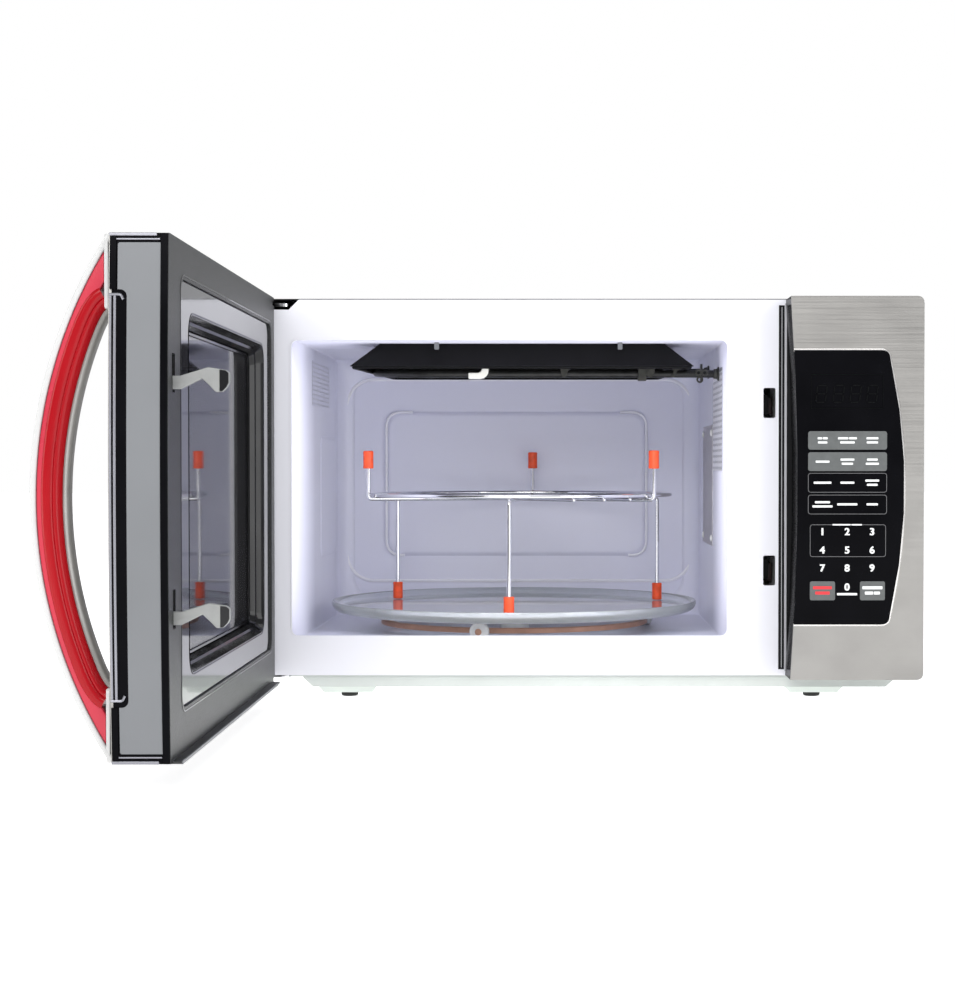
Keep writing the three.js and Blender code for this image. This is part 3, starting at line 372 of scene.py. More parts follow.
def band(outer, inner, low, high, plane="xz"):
    """A flat ring between two rectangles with round corners."""
    outer, inner = rounded(*outer), rounded(*inner)
    bm = bmesh.new()
    loops = [[bm.verts.new(at(plane, a, b, d)) for a, b in o]
        for o, d in ((outer, low), (outer, high), (inner, high), (inner, low))]
    n = len(outer)
    for a, b in zip(loops, loops[1:] + loops[:1]):
        for i in range(n):
            bm.faces.new((a[i], a[(i + 1) % n], b[(i + 1) % n], b[i]))
    return bm


def sweep(path, section, closed=False, up=(0, 0, 1)):
    """A section of (side, up) offsets carried along a path of points."""
    points = [Vector(p) for p in path]
    rings = []
    n = len(points)
    for i, point in enumerate(points):
        before = points[(i - 1) % n] if closed or i else points[i]
        after = points[(i + 1) % n] if closed or i < n - 1 else points[i]
        along = (after - before).normalized()
        side = along.cross(Vector(up))
        side = side.normalized() if side.length > 1e-6 else Vector((1, 0, 0))
        rise = side.cross(along).normalized()
        rings.append([point + side * a + rise * b for a, b in section])
    if closed:
        rings.append(rings[0])
    return loft(rings, caps=not closed)


def wire(path, radius, sides=12, closed=False):
    """A round wire along a path, with its frame carried smoothly round the bends."""
    points = [Vector(p) for p in path]
    n = len(points)
    rings = []
    normal = None
    for i, point in enumerate(points):
        before = points[(i - 1) % n] if closed or i else points[i]
        after = points[(i + 1) % n] if closed or i < n - 1 else points[i]
        along = (after - before).normalized()
        if normal is None:
            normal = along.orthogonal().normalized()
        normal = (normal - along * normal.dot(along)).normalized()
        other = along.cross(normal)
        rings.append([point + (normal * math.cos(t) + other * math.sin(t)) * radius
            for t in (2 * math.pi * k / sides for k in range(sides))])
    if closed:
        rings.append(rings[0])
    return loft(rings, caps=not closed)


def bend(points, radius, steps=6):
    """Rounds the inner corners of a path."""
    points = [Vector(p) for p in points]
    path = [points[0]]
    for before, corner, after in zip(points, points[1:], points[2:]):
        start = corner + (before - corner).normalized() * radius
        stop = corner + (after - corner).normalized() * radius
        for i in range(steps + 1):
            t = i / steps
            path.append(start * (1 - t) ** 2 + corner * 2 * t * (1 - t) + stop * t * t)
    return path + [points[-1]]


def lathe(profile, centre, sides=64, ripple=None):
    """A closed profile of (radius, height) turned about a vertical axis.
    ripple(radius, height, station) moves a point in or out."""
    rings = []
    for k in range(sides + 1):
        t = 2 * math.pi * (k % sides) / sides
        ring = []
        for r, z in profile:
            s = r + (ripple(r, z, k) if ripple else 0)
            ring.append((centre[0] + s * math.cos(t), centre[1] + s * math.sin(t), z))
        rings.append(ring)
    return loft(rings, caps=False)


def turned_along(profile, start, direction, sides=20):
    """A closed profile of (radius, distance) turned about any axis."""
    turn = Vector((0, 0, 1)).rotation_difference(Vector(direction)).to_matrix().to_4x4()
    bm = lathe(profile, (0, 0), sides)
    bm.transform(Matrix.Translation(Vector(start)) @ turn)
    return bm


def merged(*parts):
    """Several bmeshes as one."""
    whole = bmesh.new()
    for part in parts:
        mesh = bpy.data.meshes.new("part")
        part.to_mesh(mesh)
        part.free()
        whole.from_mesh(mesh)
        bpy.data.meshes.remove(mesh)
    return whole


def screw(name, centre, direction, finish="zinc_steel"):
    """A pan head screw with a cross recess, on the cabinet."""
    radius = 3.4
    head = turned_along([(0, 0), (radius, 0), (radius, 0.7), (radius * 0.8, 1.6), (radius * 0.4, 2.0),
        (radius * 0.3, 1.3), (0, 1.1)], centre, direction, 20)
    axis = Vector(direction)
    side = axis.orthogonal().normalized()
    bars = []
    for across in (side, axis.cross(side)):
        half = across * radius * 0.62
        mid = Vector(centre) + axis * 1.75
        bars.append(wire([mid - half, mid + half], 0.32, 4))
    fixed(name, head, finish)
    # The cross recess is two near-black bars: painted shade in the recess.
    fixed(name + "_recess", merged(*bars), "painted_hole_shade")


def grid_sheet(u0, u1, v0, v1, pitch, hole, plane, depth):
    """A thin sheet with a square grid of real round holes."""
    bm = bmesh.new()
    nu, nv = int((u1 - u0) // pitch), int((v1 - v0) // pitch)
    for i in range(nu):
        for j in range(nv):
            cu, cv = u0 + (i + 0.5) * pitch, v0 + (j + 0.5) * pitch
            outer, inner = [], []
            for k in range(8):
                a = math.radians(45 * k)
                c, s = math.cos(a), math.sin(a)
                big = max(abs(c), abs(s))
                outer.append(bm.verts.new(at(plane, cu + c / big * pitch / 2, cv + s / big * pitch / 2,
                    depth)))
                inner.append(bm.verts.new(at(plane, cu + c * hole, cv + s * hole, depth)))
            for k in range(8):
                m = (k + 1) % 8
                bm.faces.new((outer[k], outer[m], inner[m], inner[k]))
    return bm


def bowed_edge(z, side, base=0.0):
    """The door's free edge, or the panel's left edge, at a height: both bow by the same amount."""
    return base + side * EDGE_BOW["rise"] * (1 - ((z - EDGE_BOW["middle"]) / EDGE_BOW["half"]) ** 2)


# ---------- finishes of the carried-over solids ----------
# For each finish its nodes, and the width of the rounding on their edges.
KEPT = {
    "enamel": {"front_plate": 0.7},
    "black_paint": {"outer_cover": 0.5},
    "zinc_steel": {"rear_panel": 0.4, "turntable_motor": 0.8, "waveguide": 0.8, "magnetron": 0.6,
        "capacitor": 1.0, "fan_motor": 1.0},
    "base_paint": {"base_pan": 0.8},
    "chrome": {"hinge_bracket_upper": 0.5, "hinge_bracket_lower": 0.4},
    "housing_black": {"control_housing": 0.6, "door_frame": 1.2},
    "brushed_steel": {"control_fascia": 0.5, "door_front": 0.5},
    "gloss_black": {"keypad_panel": 0.4, "display_lens": 0.25},
    "circuit_board": {"control_board": 0.3},
    "dark_glass": {"door_window": 0.4},
    "choke_grey": {"choke_cover": 0.9},
    "seal_enamel": {"choke_panel": 1.0},
    "screen": {"door_screen": 0.1},
    "film": {"door_film": 0.1},
    "hook_grey": {"latch_slider": 0.9},
    "white_plastic": {"drive_coupler": 0.7, "cavity_lamp": 0.8, "latch_board": 0.4},
    "clip_steel": {"element_hook_grey": 0.5},
    "mica": {"waveguide_cover": 0.1},
    "copper_core": {"transformer": 1.2},
    "black_plastic": {"fan_shroud": 0.5, "fan_blade": 0.3},
    "switch_red": {"door_switch_lower": 0.5, "door_switch_upper": 0.5},
    "rubber_black": {"cord_gland": 0.8},
    "reflector_black": {"grill_reflector": 0.4},
}
for finish, group in KEPT.items():
    for node, width in group.items():
        solid = NODES[node]
        solid.data.materials.clear()
        solid.data.materials.append(FINISH[finish])
        weld = solid.modifiers.new("weld", "WELD")
        weld.merge_threshold = 0.00001
        round_edges(solid, width, 30)

# ---------- cavity ----------
def cavity_shell():
    """The liner as one pressed sheet: sharp folds along its length and a generous radius round the back."""
    stations = [(0, 1.6, 1.6), (0, 160, 1.6), (0, 312, 1.8)]
    for k in range(1, 9):
        turn = math.radians(90 * k / 8)
        stations.append((16 * (1 - math.cos(turn)), 325 + 16 * math.sin(turn), 1.8 + 20 * k / 8))
    return loft([[at("xz", a, b, y) for a, b in rounded(-179 + i, 179 - i, CAVITY["bottom"] + i,
        CAVITY["top"] - i, r, 8)] for i, y, r in stations][::-1], caps=False)


# The cavity's pieces in the darker copy of the white enamel carry painted shade.
shell = fixed("cavity_shell", cavity_shell(), "cavity_enamel_painted_shade", slot="enamel", replaces=("cavity_liner",),
    sharp=60)
fixed("cavity_back", pad((-163.2, 163.2, 6.8, 227.2, 21.8, 8), 340.9, 341.4), "cavity_enamel_painted_shade",
    slot="enamel")
# The back wall's outline and the two beads beside its emboss are raised wires in the white enamel, whiter
# than the shaded cavity enamel around them: painted highlights on raised beads.
fixed("back_outline_highlight",
    wire([at("xz", a, b, CAVITY["back"]) for a, b in rounded(-170, 172, 24, 224, 26, 10)], 1.7, 8, True),
    "enamel", slot="enamel")
thick = shell.modifiers.new("sheet", "SOLIDIFY")
thick.thickness = 0.0008
thick.offset = 0.0


def embossed(name, outline, grow, plane, base, rise):
    """A pressed panel that stands off a wall with a soft sloping edge."""
    def ring(inset, depth):
        cx = sum(p[0] for p in outline) / len(outline)
        cy = sum(p[1] for p in outline) / len(outline)
        return [at(plane, p[0] - inset * (1 if p[0] > cx else -1), p[1] - inset * (1 if p[1] > cy else -1),
            base + depth) for p in outline]
    steps = [(-grow, -rise * 0.3), (0, 0), (1.0, rise * 0.3), (2.6, rise * 0.85), (4.0, rise), (5.5, rise)]
    fixed(name, loft([ring(i, d) for i, d in steps]), "cavity_enamel_painted_shade", sharp=70)


embossed("back_emboss", rounded(-131, 127, 49, 192, 14, 8), 0.6, "xz", CAVITY["back"], -2.6)
for tag, side in (("left", -1), ("right", 1)):
    x = -2 + side * 129
    bead = bend([(x - side * 26, 337.9, 191.4), (x, 337.9, 191.4), (x, 337.9, 49.6),
        (x - side * 18, 337.9, 49.6)], 15, 10)
    fixed(f"back_highlight_bead_{tag}", wire(bead, 1.3, 8), "enamel", slot="enamel")
embossed("left_emboss", rounded(196, 312, 53, 166, 10, 8), 0.6, "yz", -178.7, 0.9)
embossed("plate_well_emboss", rounded(-62, 62, 109, 233, 60, 12), 0.4, "xy", -8.8, -0.9)
fixed("right_perforation", grid_sheet(62, 160, 134, 222, 5, 1.35, "yz", CAVITY["wall"]), "enamel",
    slot="enamel")
# A grey sheet just behind the right wall's holes: painted shade seen through them.
fixed("right_perforation_back", pad((62, 160, 134, 222, 1), 178.45, 178.65, "yz"), "painted_shade_behind_holes")
fixed("left_perforation", grid_sheet(140, 262, 192, 232, 4, 1.0, "yz", -CAVITY["wall"]), "cavity_enamel_painted_shade",
    slot="enamel")
# The same painted shade behind the left wall's holes.
fixed("left_perforation_back", pad((140, 262, 192, 232, 1), -178.65, -178.45, "yz"), "painted_shade_behind_holes")
for i, (y, z) in enumerate(((166, 73), (166, 168), (259, 73), (259, 168))):
    fixed(f"mica_rivet_{i + 1}",
        turned_along([(0, 0), (3.2, 0), (2.9, 0.7), (1.6, 1.3), (0, 1.5)], (177.8, y, z), (-1, 0, 0), 16),
        "white_plastic")
fixed("ceiling_rib_front", pad((-150, 150, 22, 34, 5), 242.0, 243.2, "xy"), "cavity_enamel_painted_shade", bevel=0.7)

# ---------- front plate's details ----------
fixed("mouth_bead", band((-178.2, 178.2, -1.2, 241.2, 6), (-177, 177, 0, 240, 5), -0.25, 0.2), "enamel",
    bevel=0.2, slot="enamel")
# Beside the panel, a thin black strip stands where a dark gap shows, which is painted shade. The grey line
# on it and the grey bead beside it are painted highlights, and the shadow strip is painted shade.
# Name, sides, depths, finish, bevel and slot of the strips beside the control panel.
BESIDE_PANEL = (
    ("panel_gap_shade_strip", (219.0, 223.7, -27.5, 268.5), -0.34, 0.2, "black_plastic", 0.15, "black_plastic"),
    ("panel_highlight_line", (221.2, 221.8, -26, 267), -0.42, 0.1, "grey_painted_highlight", 0.1, None),
    ("panel_highlight_bead", (223.9, 225.5, -29, 270), -0.3, 0.2, "grey_painted_highlight", 0.1, None),
    ("panel_shadow_strip", (225.6, 232.5, -30, 271), -0.33, 0.2, "black_plastic", 0.1, "black_plastic"),
)
for name, sides, low, high, finish, bevel, slot in BESIDE_PANEL:
    fixed(name, bar(*sides, low, high), finish, bevel=bevel, slot=slot)
for i, (z0, z1) in enumerate(LATCH_SLOTS):
    fixed(f"latch_slot_lip_{i + 1}",
        band((205.7, 217.3, z0 - 0.8, z1 + 0.8, 2.2), (206.6, 216.4, z0 + 0.1, z1 - 0.1, 1.5), -0.2, 0.3),
        "enamel", bevel=0.15, slot="enamel")
    fixed(f"latch_cam_{i + 1}", pad((208.4, 214.6, z0 + 3, z1 - 4, 2), 33.8, 36), "black_plastic",
        bevel=0.6)

fixed("base_lip", prism([(-168.6, -35.4), (315.6, -35.4), (317, -32.6), (-170, -32.6)], 6.9, 8.1),
    "base_paint", bevel=0.3, slot="zinc_steel")

# ---------- control panel ----------
FACE = PANEL["front"] - 1.0


def key(name, x0, x1, z0, z1, finish, lift=0.35, r=2.0):
    fixed(name, pad((x0, x1, z0, z1, r), FACE - lift, FACE + 0.1), finish, bevel=0.2, slot="gloss_black")


def outline(name, x0, x1, z0, z1, finish="key_line", r=2.2, line=0.45):
    fixed(name, band((x0, x1, z0, z1, r), (x0 + line, x1 - line, z0 + line, z1 - line, r - line),
        FACE - 0.12, FACE + 0.1), finish, slot="gloss_black")


def bars(name, cx, cz, widths, finish="print_white", height=1.5, gap=2.5, lift=0.5):
    """Plain dashes in place of words."""
    parts = []
    for row, (width, dashes) in enumerate(widths):
        z = cz + (len(widths) - 1) * gap / 2 - row * gap
        unit = width / sum(dashes)
        x = cx - width / 2
        for share in dashes:
            parts.append(pad((x + 0.25, x + share * unit - 0.25, z - height / 2, z + height / 2, 0.5, 3),
                FACE - lift, FACE))
            x += share * unit
    fixed(name, merged(*parts), finish, slot="gloss_black")


def digit(text, cx, cz):
    """A generic numeral, turned into a thin raised mesh."""
    name = "digit_" + text
    curve = bpy.data.curves.new(name, "FONT")
    curve.body = text
    curve.size = 7.9
    curve.align_x = "CENTER"
    curve.align_y = "CENTER"
    curve.extrude = 0.12
    curve.offset = 0.15
    shape = bpy.data.objects.new(name, curve)
    bpy.context.scene.collection.objects.link(shape)
    mesh = bpy.data.meshes.new_from_object(shape)
    bpy.data.objects.remove(shape)
    bm = bmesh.new()
    bm.from_mesh(mesh)
    bpy.data.meshes.remove(mesh)
    bm.transform(Matrix.Translation((cx - 0.2, FACE - 0.25, cz))
        @ Matrix.Rotation(math.radians(90), 4, "X"))
    double = bm.copy()
    double.transform(Matrix.Translation((0.4, -0.02, 0)))
    fixed(name, merged(bm, double), "print_white", slot="gloss_black")


COLUMNS = (249.7, 269.4, 289.2)
KEYS = (238.2, 300.9)
key("key_row_1", *KEYS, 151, 165.7, "key_grey")
key("key_row_2", *KEYS, 134, 149, "key_grey")
outline("key_row_3", *KEYS, 117, 132.5)
outline("key_row_4", *KEYS, 99.7, 115.2)
outline("digit_block", 239.8, 300.2, 65.8, 91.6)
# For each row of keys its height, and for each of its three keys the (width, dashes) of the lines on it.
LEGENDS = (
    (158.4, [(8.5, (2, 2)), (8, (4,))], [(15.5, (5, 4)), (12, (6,))], [(10, (5,)), (9.5, (5,))]),
    (141.5, [(11.5, (5,))], [(11.5, (6,)), (9.5, (5,))], [(9, (4,)), (11, (5,))]),
    (124.8, [(14.5, (7,))], [(11.5, (6,))], [(11.5, (6,)), (9, (5,))]),
    (107.6, [(12.5, (6,)), (16.5, (8,))], [(16.5, (8,))], [(9.5, (4,))]),
)
for row, (z, *words) in enumerate(LEGENDS):
    for side, x, widths in zip(("left", "middle", "right"), COLUMNS, words):
        bars(f"legend_{row + 1}_{side}", x, z, widths, height=1.7, gap=3.3)
bars("legend_digits", 269.4, 91.4, [(24, (5, 3))], height=1.1, gap=2)
for index, z in enumerate((85.6, 71, 56.7)):
    for column, x in enumerate(COLUMNS):
        digit(str(index * 3 + column + 1), x, z)
digit("0", COLUMNS[1], 41.6)
bars("legend_zero", COLUMNS[1], 36.2, [(16.5, (7,))], height=1.8)
key("key_stop", 239.8, 259.9, 31.3, 46.4, "key_grey", 0.5, 1.5)
key("key_start", 279.6, 299.5, 31.3, 46.4, "key_grey", 0.5, 1.5)
bars("legend_stop", 249.8, 39.2, [(15.5, (4,)), (12, (5,))], "print_red", 2.4, 4.2, 0.65)
bars("legend_start", 289.5, 39.2, [(16.5, (5,)), (12.5, (4, 3))], "print_white", 2.4, 4.2, 0.65)


def figure_eight(x, z):
    """A slanted seven-segment figure eight."""
    wide, high, lean = 7.6, 13.4, 0.12
    bars_of = [((0, 0), (wide, 0)), ((0, high / 2), (wide, high / 2)), ((0, high), (wide, high)),
        ((0, 0), (0, high / 2)), ((0, high / 2), (0, high)), ((wide, 0), (wide, high / 2)),
        ((wide, high / 2), (wide, high))]
    parts = []
    for (a0, b0), (a1, b1) in bars_of:
        start = Vector((x + a0 + lean * b0, FACE - 0.08, z + b0))
        stop = Vector((x + a1 + lean * b1, FACE - 0.08, z + b1))
        short = (stop - start).normalized() * 0.9
        parts.append(wire([start + short, stop - short], 0.5, 6))
    return merged(*parts)


for i, x in enumerate((244.2, 257.8, 271.2, 284.6)):
    fixed(f"display_digit_{i + 1}", figure_eight(x, 188.6), "print_faint", slot="gloss_black")
outline("display_rim", 240.6, 297.9, 183.6, 210.9, "print_faint", 1.0, 0.3)


def insert_bead():
    """The bevel that runs around the black insert, from the panel's left edge and back to it, made brighter
    than the fascia's steel: a painted highlight.
    """
    bottom, top, right, bow, r = 11.8, 230, 303.5, 11.5, 7
    middle = (bottom + top) / 2
    path = [(PANEL["left"] + 2.4, bottom)]
    path += [(x, bottom) for x in (250, 275, right - r)]

    def curve(p0, p1, p2, n):
        return [tuple(p0[i] * (1 - t) ** 2 + 2 * p1[i] * t * (1 - t) + p2[i] * t * t for i in (0, 1))
            for t in (k / n for k in range(1, n + 1))]
    path += curve((right - r, bottom), (right, bottom), (right, bottom + r), 8)
    path += curve((right, bottom + r), (right + 2 * bow, middle), (right, top - r), 28)
    path += curve((right, top - r), (right, top), (right - r, top), 8)
    path += [(x, top) for x in (275, 250)]
    path += [(PANEL["left"] + 2.2, top)]
    points = [(x, PANEL["front"] - 0.1, z) for x, z in path]
    section = [(1.2, -0.5), (1.2, 0.1), (0.5, 0.75), (-0.5, 0.75), (-1.2, 0.1), (-1.2, -0.5)]
    return sweep(points, section, up=(0, -1, 0))


fixed("insert_bead", insert_bead(), "steel_painted_highlight", slot="brushed_steel")
# A grey wire along the insert's left edge: a painted highlight.
left_edge = [(bowed_edge(z, 1, PANEL["left"]) + 0.7, PANEL["front"] - 0.55, z)
    for z in (12 + 218 * k / 24 for k in range(25))]
fixed("insert_left_line", wire(left_edge, 0.32, 8), "grey_and_painted_sheen", slot="gloss_black")

# ---------- door: the free edge ----------
def edge_strip(y0, y1, z0, z1, lift, depth, n):
    """A strip on the door's bowed free edge, between two depths and two heights."""
    rings = []
    for k in range(n + 1):
        z = z0 + (z1 - z0) * k / n
        x = bowed_edge(z, 1, DOOR["right"])
        rings.append([(x - depth, y0, z), (x - depth, y1, z), (x + lift, y1, z), (x + lift, y0, z)])
    return loft(rings)


EDGE = {"top": 237.3, "low": 1.5, "middle": 118.9}


def edge_face():
    """The panel of the free edge, stepped in around the steel skin's fold with round corners; its grey is a
    painted reflection on dark plastic.
    """
    stations = []
    for k in range(13):
        turn = math.radians(90 * k / 12)
        stations.append((236.2 + 4 * math.sin(turn), -28.4 + 4 * math.cos(turn)))
    upper = stations + [(240.25, -29.8), (254, -29.8), (266.6, -29.8), (267.5, -29.1)]
    lower = [(2 * EDGE["middle"] - z, y) for z, y in reversed(upper)]
    middle = [(EDGE["middle"] - 117 + 234 * k / 24, -24.4) for k in range(1, 24)]
    rings = []
    for z, y in lower + middle + upper:
        x = bowed_edge(z, 1, DOOR["right"])
        rings.append([(x - 1.5, y, z), (x - 1.5, -5.1, z), (x + 0.35, -5.1, z), (x + 0.35, y, z)])
    return loft(rings)


on_door("edge_panel", edge_face(), "grey_and_painted_sheen", slot="choke_grey", sharp=50)
# The flanges and lines below are dark plastic in the silver colour: painted sheen; the silver strips are
# the steel's own.
# Name, depths, heights, height over the edge, thickness below it, steps, finish, bevel and slot.
STRIPS = (
    ("edge_silver_and_painted_sheen", -34.6, -33.2, EDGE["low"], EDGE["top"], 0.6, 1.5, 24, "edge_silver_and_painted_sheen", 0.5,
        "brushed_steel"),
    ("edge_silver_line", -32.2, -30.6, EDGE["low"], EDGE["top"], 0.6, 1.5, 24, "edge_silver_and_painted_sheen", 0.5,
        "brushed_steel"),
    ("edge_flange_top", -35.0, -7.3, 271.4, 273.35, 0.45, 2.0, 3, "edge_silver_and_painted_sheen", 0.4, "choke_grey"),
    ("edge_flange_bottom", -35.0, -7.3, -35.9, -33.9, 0.45, 2.0, 3, "edge_silver_and_painted_sheen", 0.4, "choke_grey"),
    ("edge_line_top", -33.0, -5.4, 269.1, 270.0, 0.5, 1.0, 3, "edge_silver_and_painted_sheen", 0.2, "choke_grey"),
    ("edge_line_bottom", -33.0, -5.4, -32.2, -31.3, 0.5, 1.0, 3, "edge_silver_and_painted_sheen", 0.2, "choke_grey"),
    ("edge_corner_band", -5.0, -0.9, -35.6, 273.0, 0.9, 1.4, 24, "housing_black", 0.25, "black_plastic"),
    ("edge_fold_top", -34.5, -30.6, 240.3, 271.2, 0.75, 1.4, 6, "housing_black", 0.2, "black_plastic"),
    ("edge_fold_bottom", -34.5, -30.6, -33.7, -2.5, 0.75, 1.4, 6, "housing_black", 0.2, "black_plastic"),
    ("edge_reveal", -33.1, -32.3, EDGE["low"], EDGE["top"], 0.2, 1.2, 24, "housing_black", 0.1,
        "black_plastic"),
    ("edge_groove", -30.5, -24.5, EDGE["low"], EDGE["top"], 0.15, 1.2, 24, "housing_black", 0.1,
        "black_plastic"),
)
for name, *sizes, finish, bevel, slot in STRIPS:
    on_door(name, edge_strip(*sizes), finish, bevel=bevel, slot=slot)
for tag, z, way in (("upper", EDGE["top"], 1), ("lower", EDGE["low"], -1)):
    x = bowed_edge(z, 1, DOOR["right"]) + 0.45
    path = bend([(x, -34.6, z), (x, -27.8, z), (x, -26.4, z - way * 3)], 1.6, 5)
    on_door(f"edge_step_{tag}", wire(path, 0.8, 8), "edge_silver_and_painted_sheen", slot="brushed_steel")

# ---------- door: the inner face ----------
# How far each ring of the recess stands in from the first, its corner radius and its depth.
RECESS = ((0, 15, -1.7), (1.3, 14, -2.2), (2.0, 13.4, -4.5), (4.0, 12, -7.6), (5.8, 11, -8.2),
    (7.8, 10, -11.8))
recess = [[at("xz", a, b, y) for a, b in rounded(-155.2 + i, 155.2 - i, 7.8 + i, 233.2 - i, r, 8)]
    for i, r, y in RECESS]
# The recess walls, the gap around the cover and the screen's rim are near-black: painted shade on the panel
# and the cover.
on_door("recess_wall", loft(recess, caps=False), "painted_shade_black", slot="seal_enamel")
on_door("choke_gap", band((-184.1, 186.1, -8.1, 250.6, 9.1, 8), (-182.6, 184.6, -6.6, 249.1, 8, 8), -4.9,
    -2.6), "painted_shade_black", slot="black_plastic")
on_door("screen_bead", band((-146.5, 146.5, 16.5, 224.5, 9, 8), (-144.6, 144.6, 18.4, 222.6, 8, 8), -13.2,
    -12.4), "painted_shade_black", bevel=0.3, slot="seal_enamel")
# Each hook's slot rim and the plate on the hook's side are near-black: painted shade on the cover and on
# the grey hook.
for i, z in enumerate((44.6, 183.1)):
    left, right = 207.3, 213.7
    on_door(f"hook_slot_{i + 1}",
        band((left - 0.5, right + 0.5, z - 2.4, z + 21, 0.8), (left, right, z - 1.9, z + 20.5, 0.5), -0.75,
        -0.35), "painted_shade_black", slot="choke_grey")
    tip = [(26.9, z - 1.4), (28.6, z - 1.3), (31.0, z + 1.1), (32.2, z + 3.6), (32.2, z + 9.4),
        (30.4, z + 10.9), (26.9, z + 11.4)]
    place(f"hook_face_{i + 1}", prism(tip, 212.4, 213.15, "yz"), "painted_shade_black", "latch", SHUT, bevel=0.25,
        slot="hook_grey")
# A near-black line around the cover's edge: painted shade.
on_door("cover_line", band((-186.8, 188.8, -10.8, 253.3, 11, 8), (-185.9, 187.9, -9.9, 252.4, 10.4, 8),
    -0.65, -0.25), "painted_shade_black", slot="choke_grey")
# A grey bar along the door's bottom lip: a painted highlight.
on_door("lip_highlight_bar", bar(-175, 219, 5.1, 6.1, -36.3, -34.2, "xy"), "grey_and_painted_sheen", bevel=0.4, slot="choke_grey")


def latch_coil():
    """The slider's return spring, which the slider presses up against the door frame."""
    low, high = (MODEL.inverted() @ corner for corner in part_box("latch_spring"))
    cx, cy, height = (low.x + high.x) / 2, (low.y + high.y) / 2, high.z - low.z - 1.0
    turns, count = 5, 100
    path = []
    for k in range(count + 1):
        a = 2 * math.pi * turns * k / count
        path.append((cx + 2.15 * math.cos(a), cy + 2.15 * math.sin(a), low.z + 0.5 + height * k / count))
    coil = place("latch_coil", wire(path, 0.38, 8), "zinc_steel", "door", slot="zinc_steel",
        replaces=("latch_spring",))
    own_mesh(coil)


latch_coil()

# ---------- door: the outer face ----------
# The bead around the window is in the brighter copy of the steel: a painted highlight.
on_door("window_bead", sweep([(x, -35.2, z) for x, z in rounded(-169.2, 153.2, 12.8, 227.2, 17, 8)][::-1],
    [(0.9, -0.4), (0.9, 0.2), (0, 0.6), (-0.9, 0.2), (-0.9, -0.4)], closed=True, up=(0, -1, 0)),
    "steel_painted_highlight", slot="brushed_steel")

# ---------- handle ----------
BAR = {"centre": DOOR["front"] - 48.2 + 283, "radius": 283, "middle": 119, "x": 207}


def on_arc(depth, z):
    """The Y of the handle's arc at a depth from its outermost edge."""
    r = BAR["radius"] - depth
    return BAR["centre"] - math.sqrt(max(r * r - (z - BAR["middle"]) ** 2, 0))


def arc_height(depth, y):
    r = BAR["radius"] - depth
    return math.sqrt(max(r * r - (BAR["centre"] - y) ** 2, 0))


def bowed_layer(stations, face):
    """A bowed bar from (depth, x) stations that follow its section round, each ending at y = face."""
    steps = 72
    rings = []
    for k in range(steps + 1):
        share = -1 + 2 * k / steps
        ring = []
        for depth, x in stations:
            z = BAR["middle"] + share * min(arc_height(depth, face), 154.3)
            ring.append((x, min(on_arc(depth, z), face), z))
        rings.append(ring)
    return loft(rings)


def section(left, right, t0, t1, r):
    return [(b, a) for a, b in rounded(left, right, t0, t1, r, 4)]


trim_face = DOOR["front"] - 0.3
grip_face = DOOR["front"] - 4.4
trim = bowed_layer(section(196.05, 217.95, 0.02, 3.6, 1.2), trim_face)
on_door("handle_trim_band", trim, "white_gloss", slot="white_gloss", replaces=("handle_trim",))
for tag, z0, z1 in (("upper", 229.6, 273.3), ("lower", -35.9, 7.9)):
    on_door(f"handle_foot_{tag}", pad((196.1, 217.9, z0, z1, 2.2), -39.15, -36.6), "white_gloss",
        bevel=0.7, slot="white_gloss")
    on_door(f"handle_seat_{tag}", pad((196.6, 217.4, z0 + 0.5, z1 - 0.5, 2), -36.55, -35.45),
        "black_plastic", bevel=0.3)
# The web is in the lighter copy of the handle's red: painted sheen.
web = bowed_layer(section(197.2, 216.9, 3.9, 12.4, 0.8), grip_face)
on_door("handle_web", web, "red_with_painted_sheen", slot="red_gloss", replaces=("handle_grip",))


def grip_path(depth, foot_z, turn=15):
    """The arc of the rounded grip, with both ends turned straight into the feet."""
    points = []
    top = BAR["middle"] + foot_z
    low = BAR["middle"] - foot_z
    reach = foot_z - turn
    z_end = BAR["middle"] + reach
    start = Vector((on_arc(depth, z_end), z_end))
    corner = Vector((on_arc(depth, top - 2), top - 2))
    foot = Vector((grip_face, top))
    ends = [start * (1 - t) ** 2 + corner * 2 * t * (1 - t) + foot * t * t
        for t in (k / 8 for k in range(9))]
    for end in reversed(ends):
        points.append((end.x, end.y))
    for k in range(1, 48):
        z = z_end - 2 * reach * k / 48
        points.append((on_arc(depth, z), z))
    for end in ends:
        points.append((end.x, 2 * BAR["middle"] - end.y))
    return points


def tube_of(stations, path):
    """A section of (along the depth, across X) points carried along a YZ path."""
    rings = []
    n = len(path)
    for i, (y, z) in enumerate(path):
        a = Vector(path[max(i - 1, 0)])
        b = Vector(path[min(i + 1, n - 1)])
        along = (b - a).normalized()
        inward = Vector((-along.y, along.x))
        rings.append([(BAR["x"] + across, y + inward.x * depth, z + inward.y * depth)
            for depth, across in stations])
    return loft(rings)


def both_sides(*half):
    """A section from its right half, which starts at the outer face, and the mirror image of that."""
    left = [(depth, -across) for depth, across in half]
    return [left[0], *half, *left[:0:-1]]


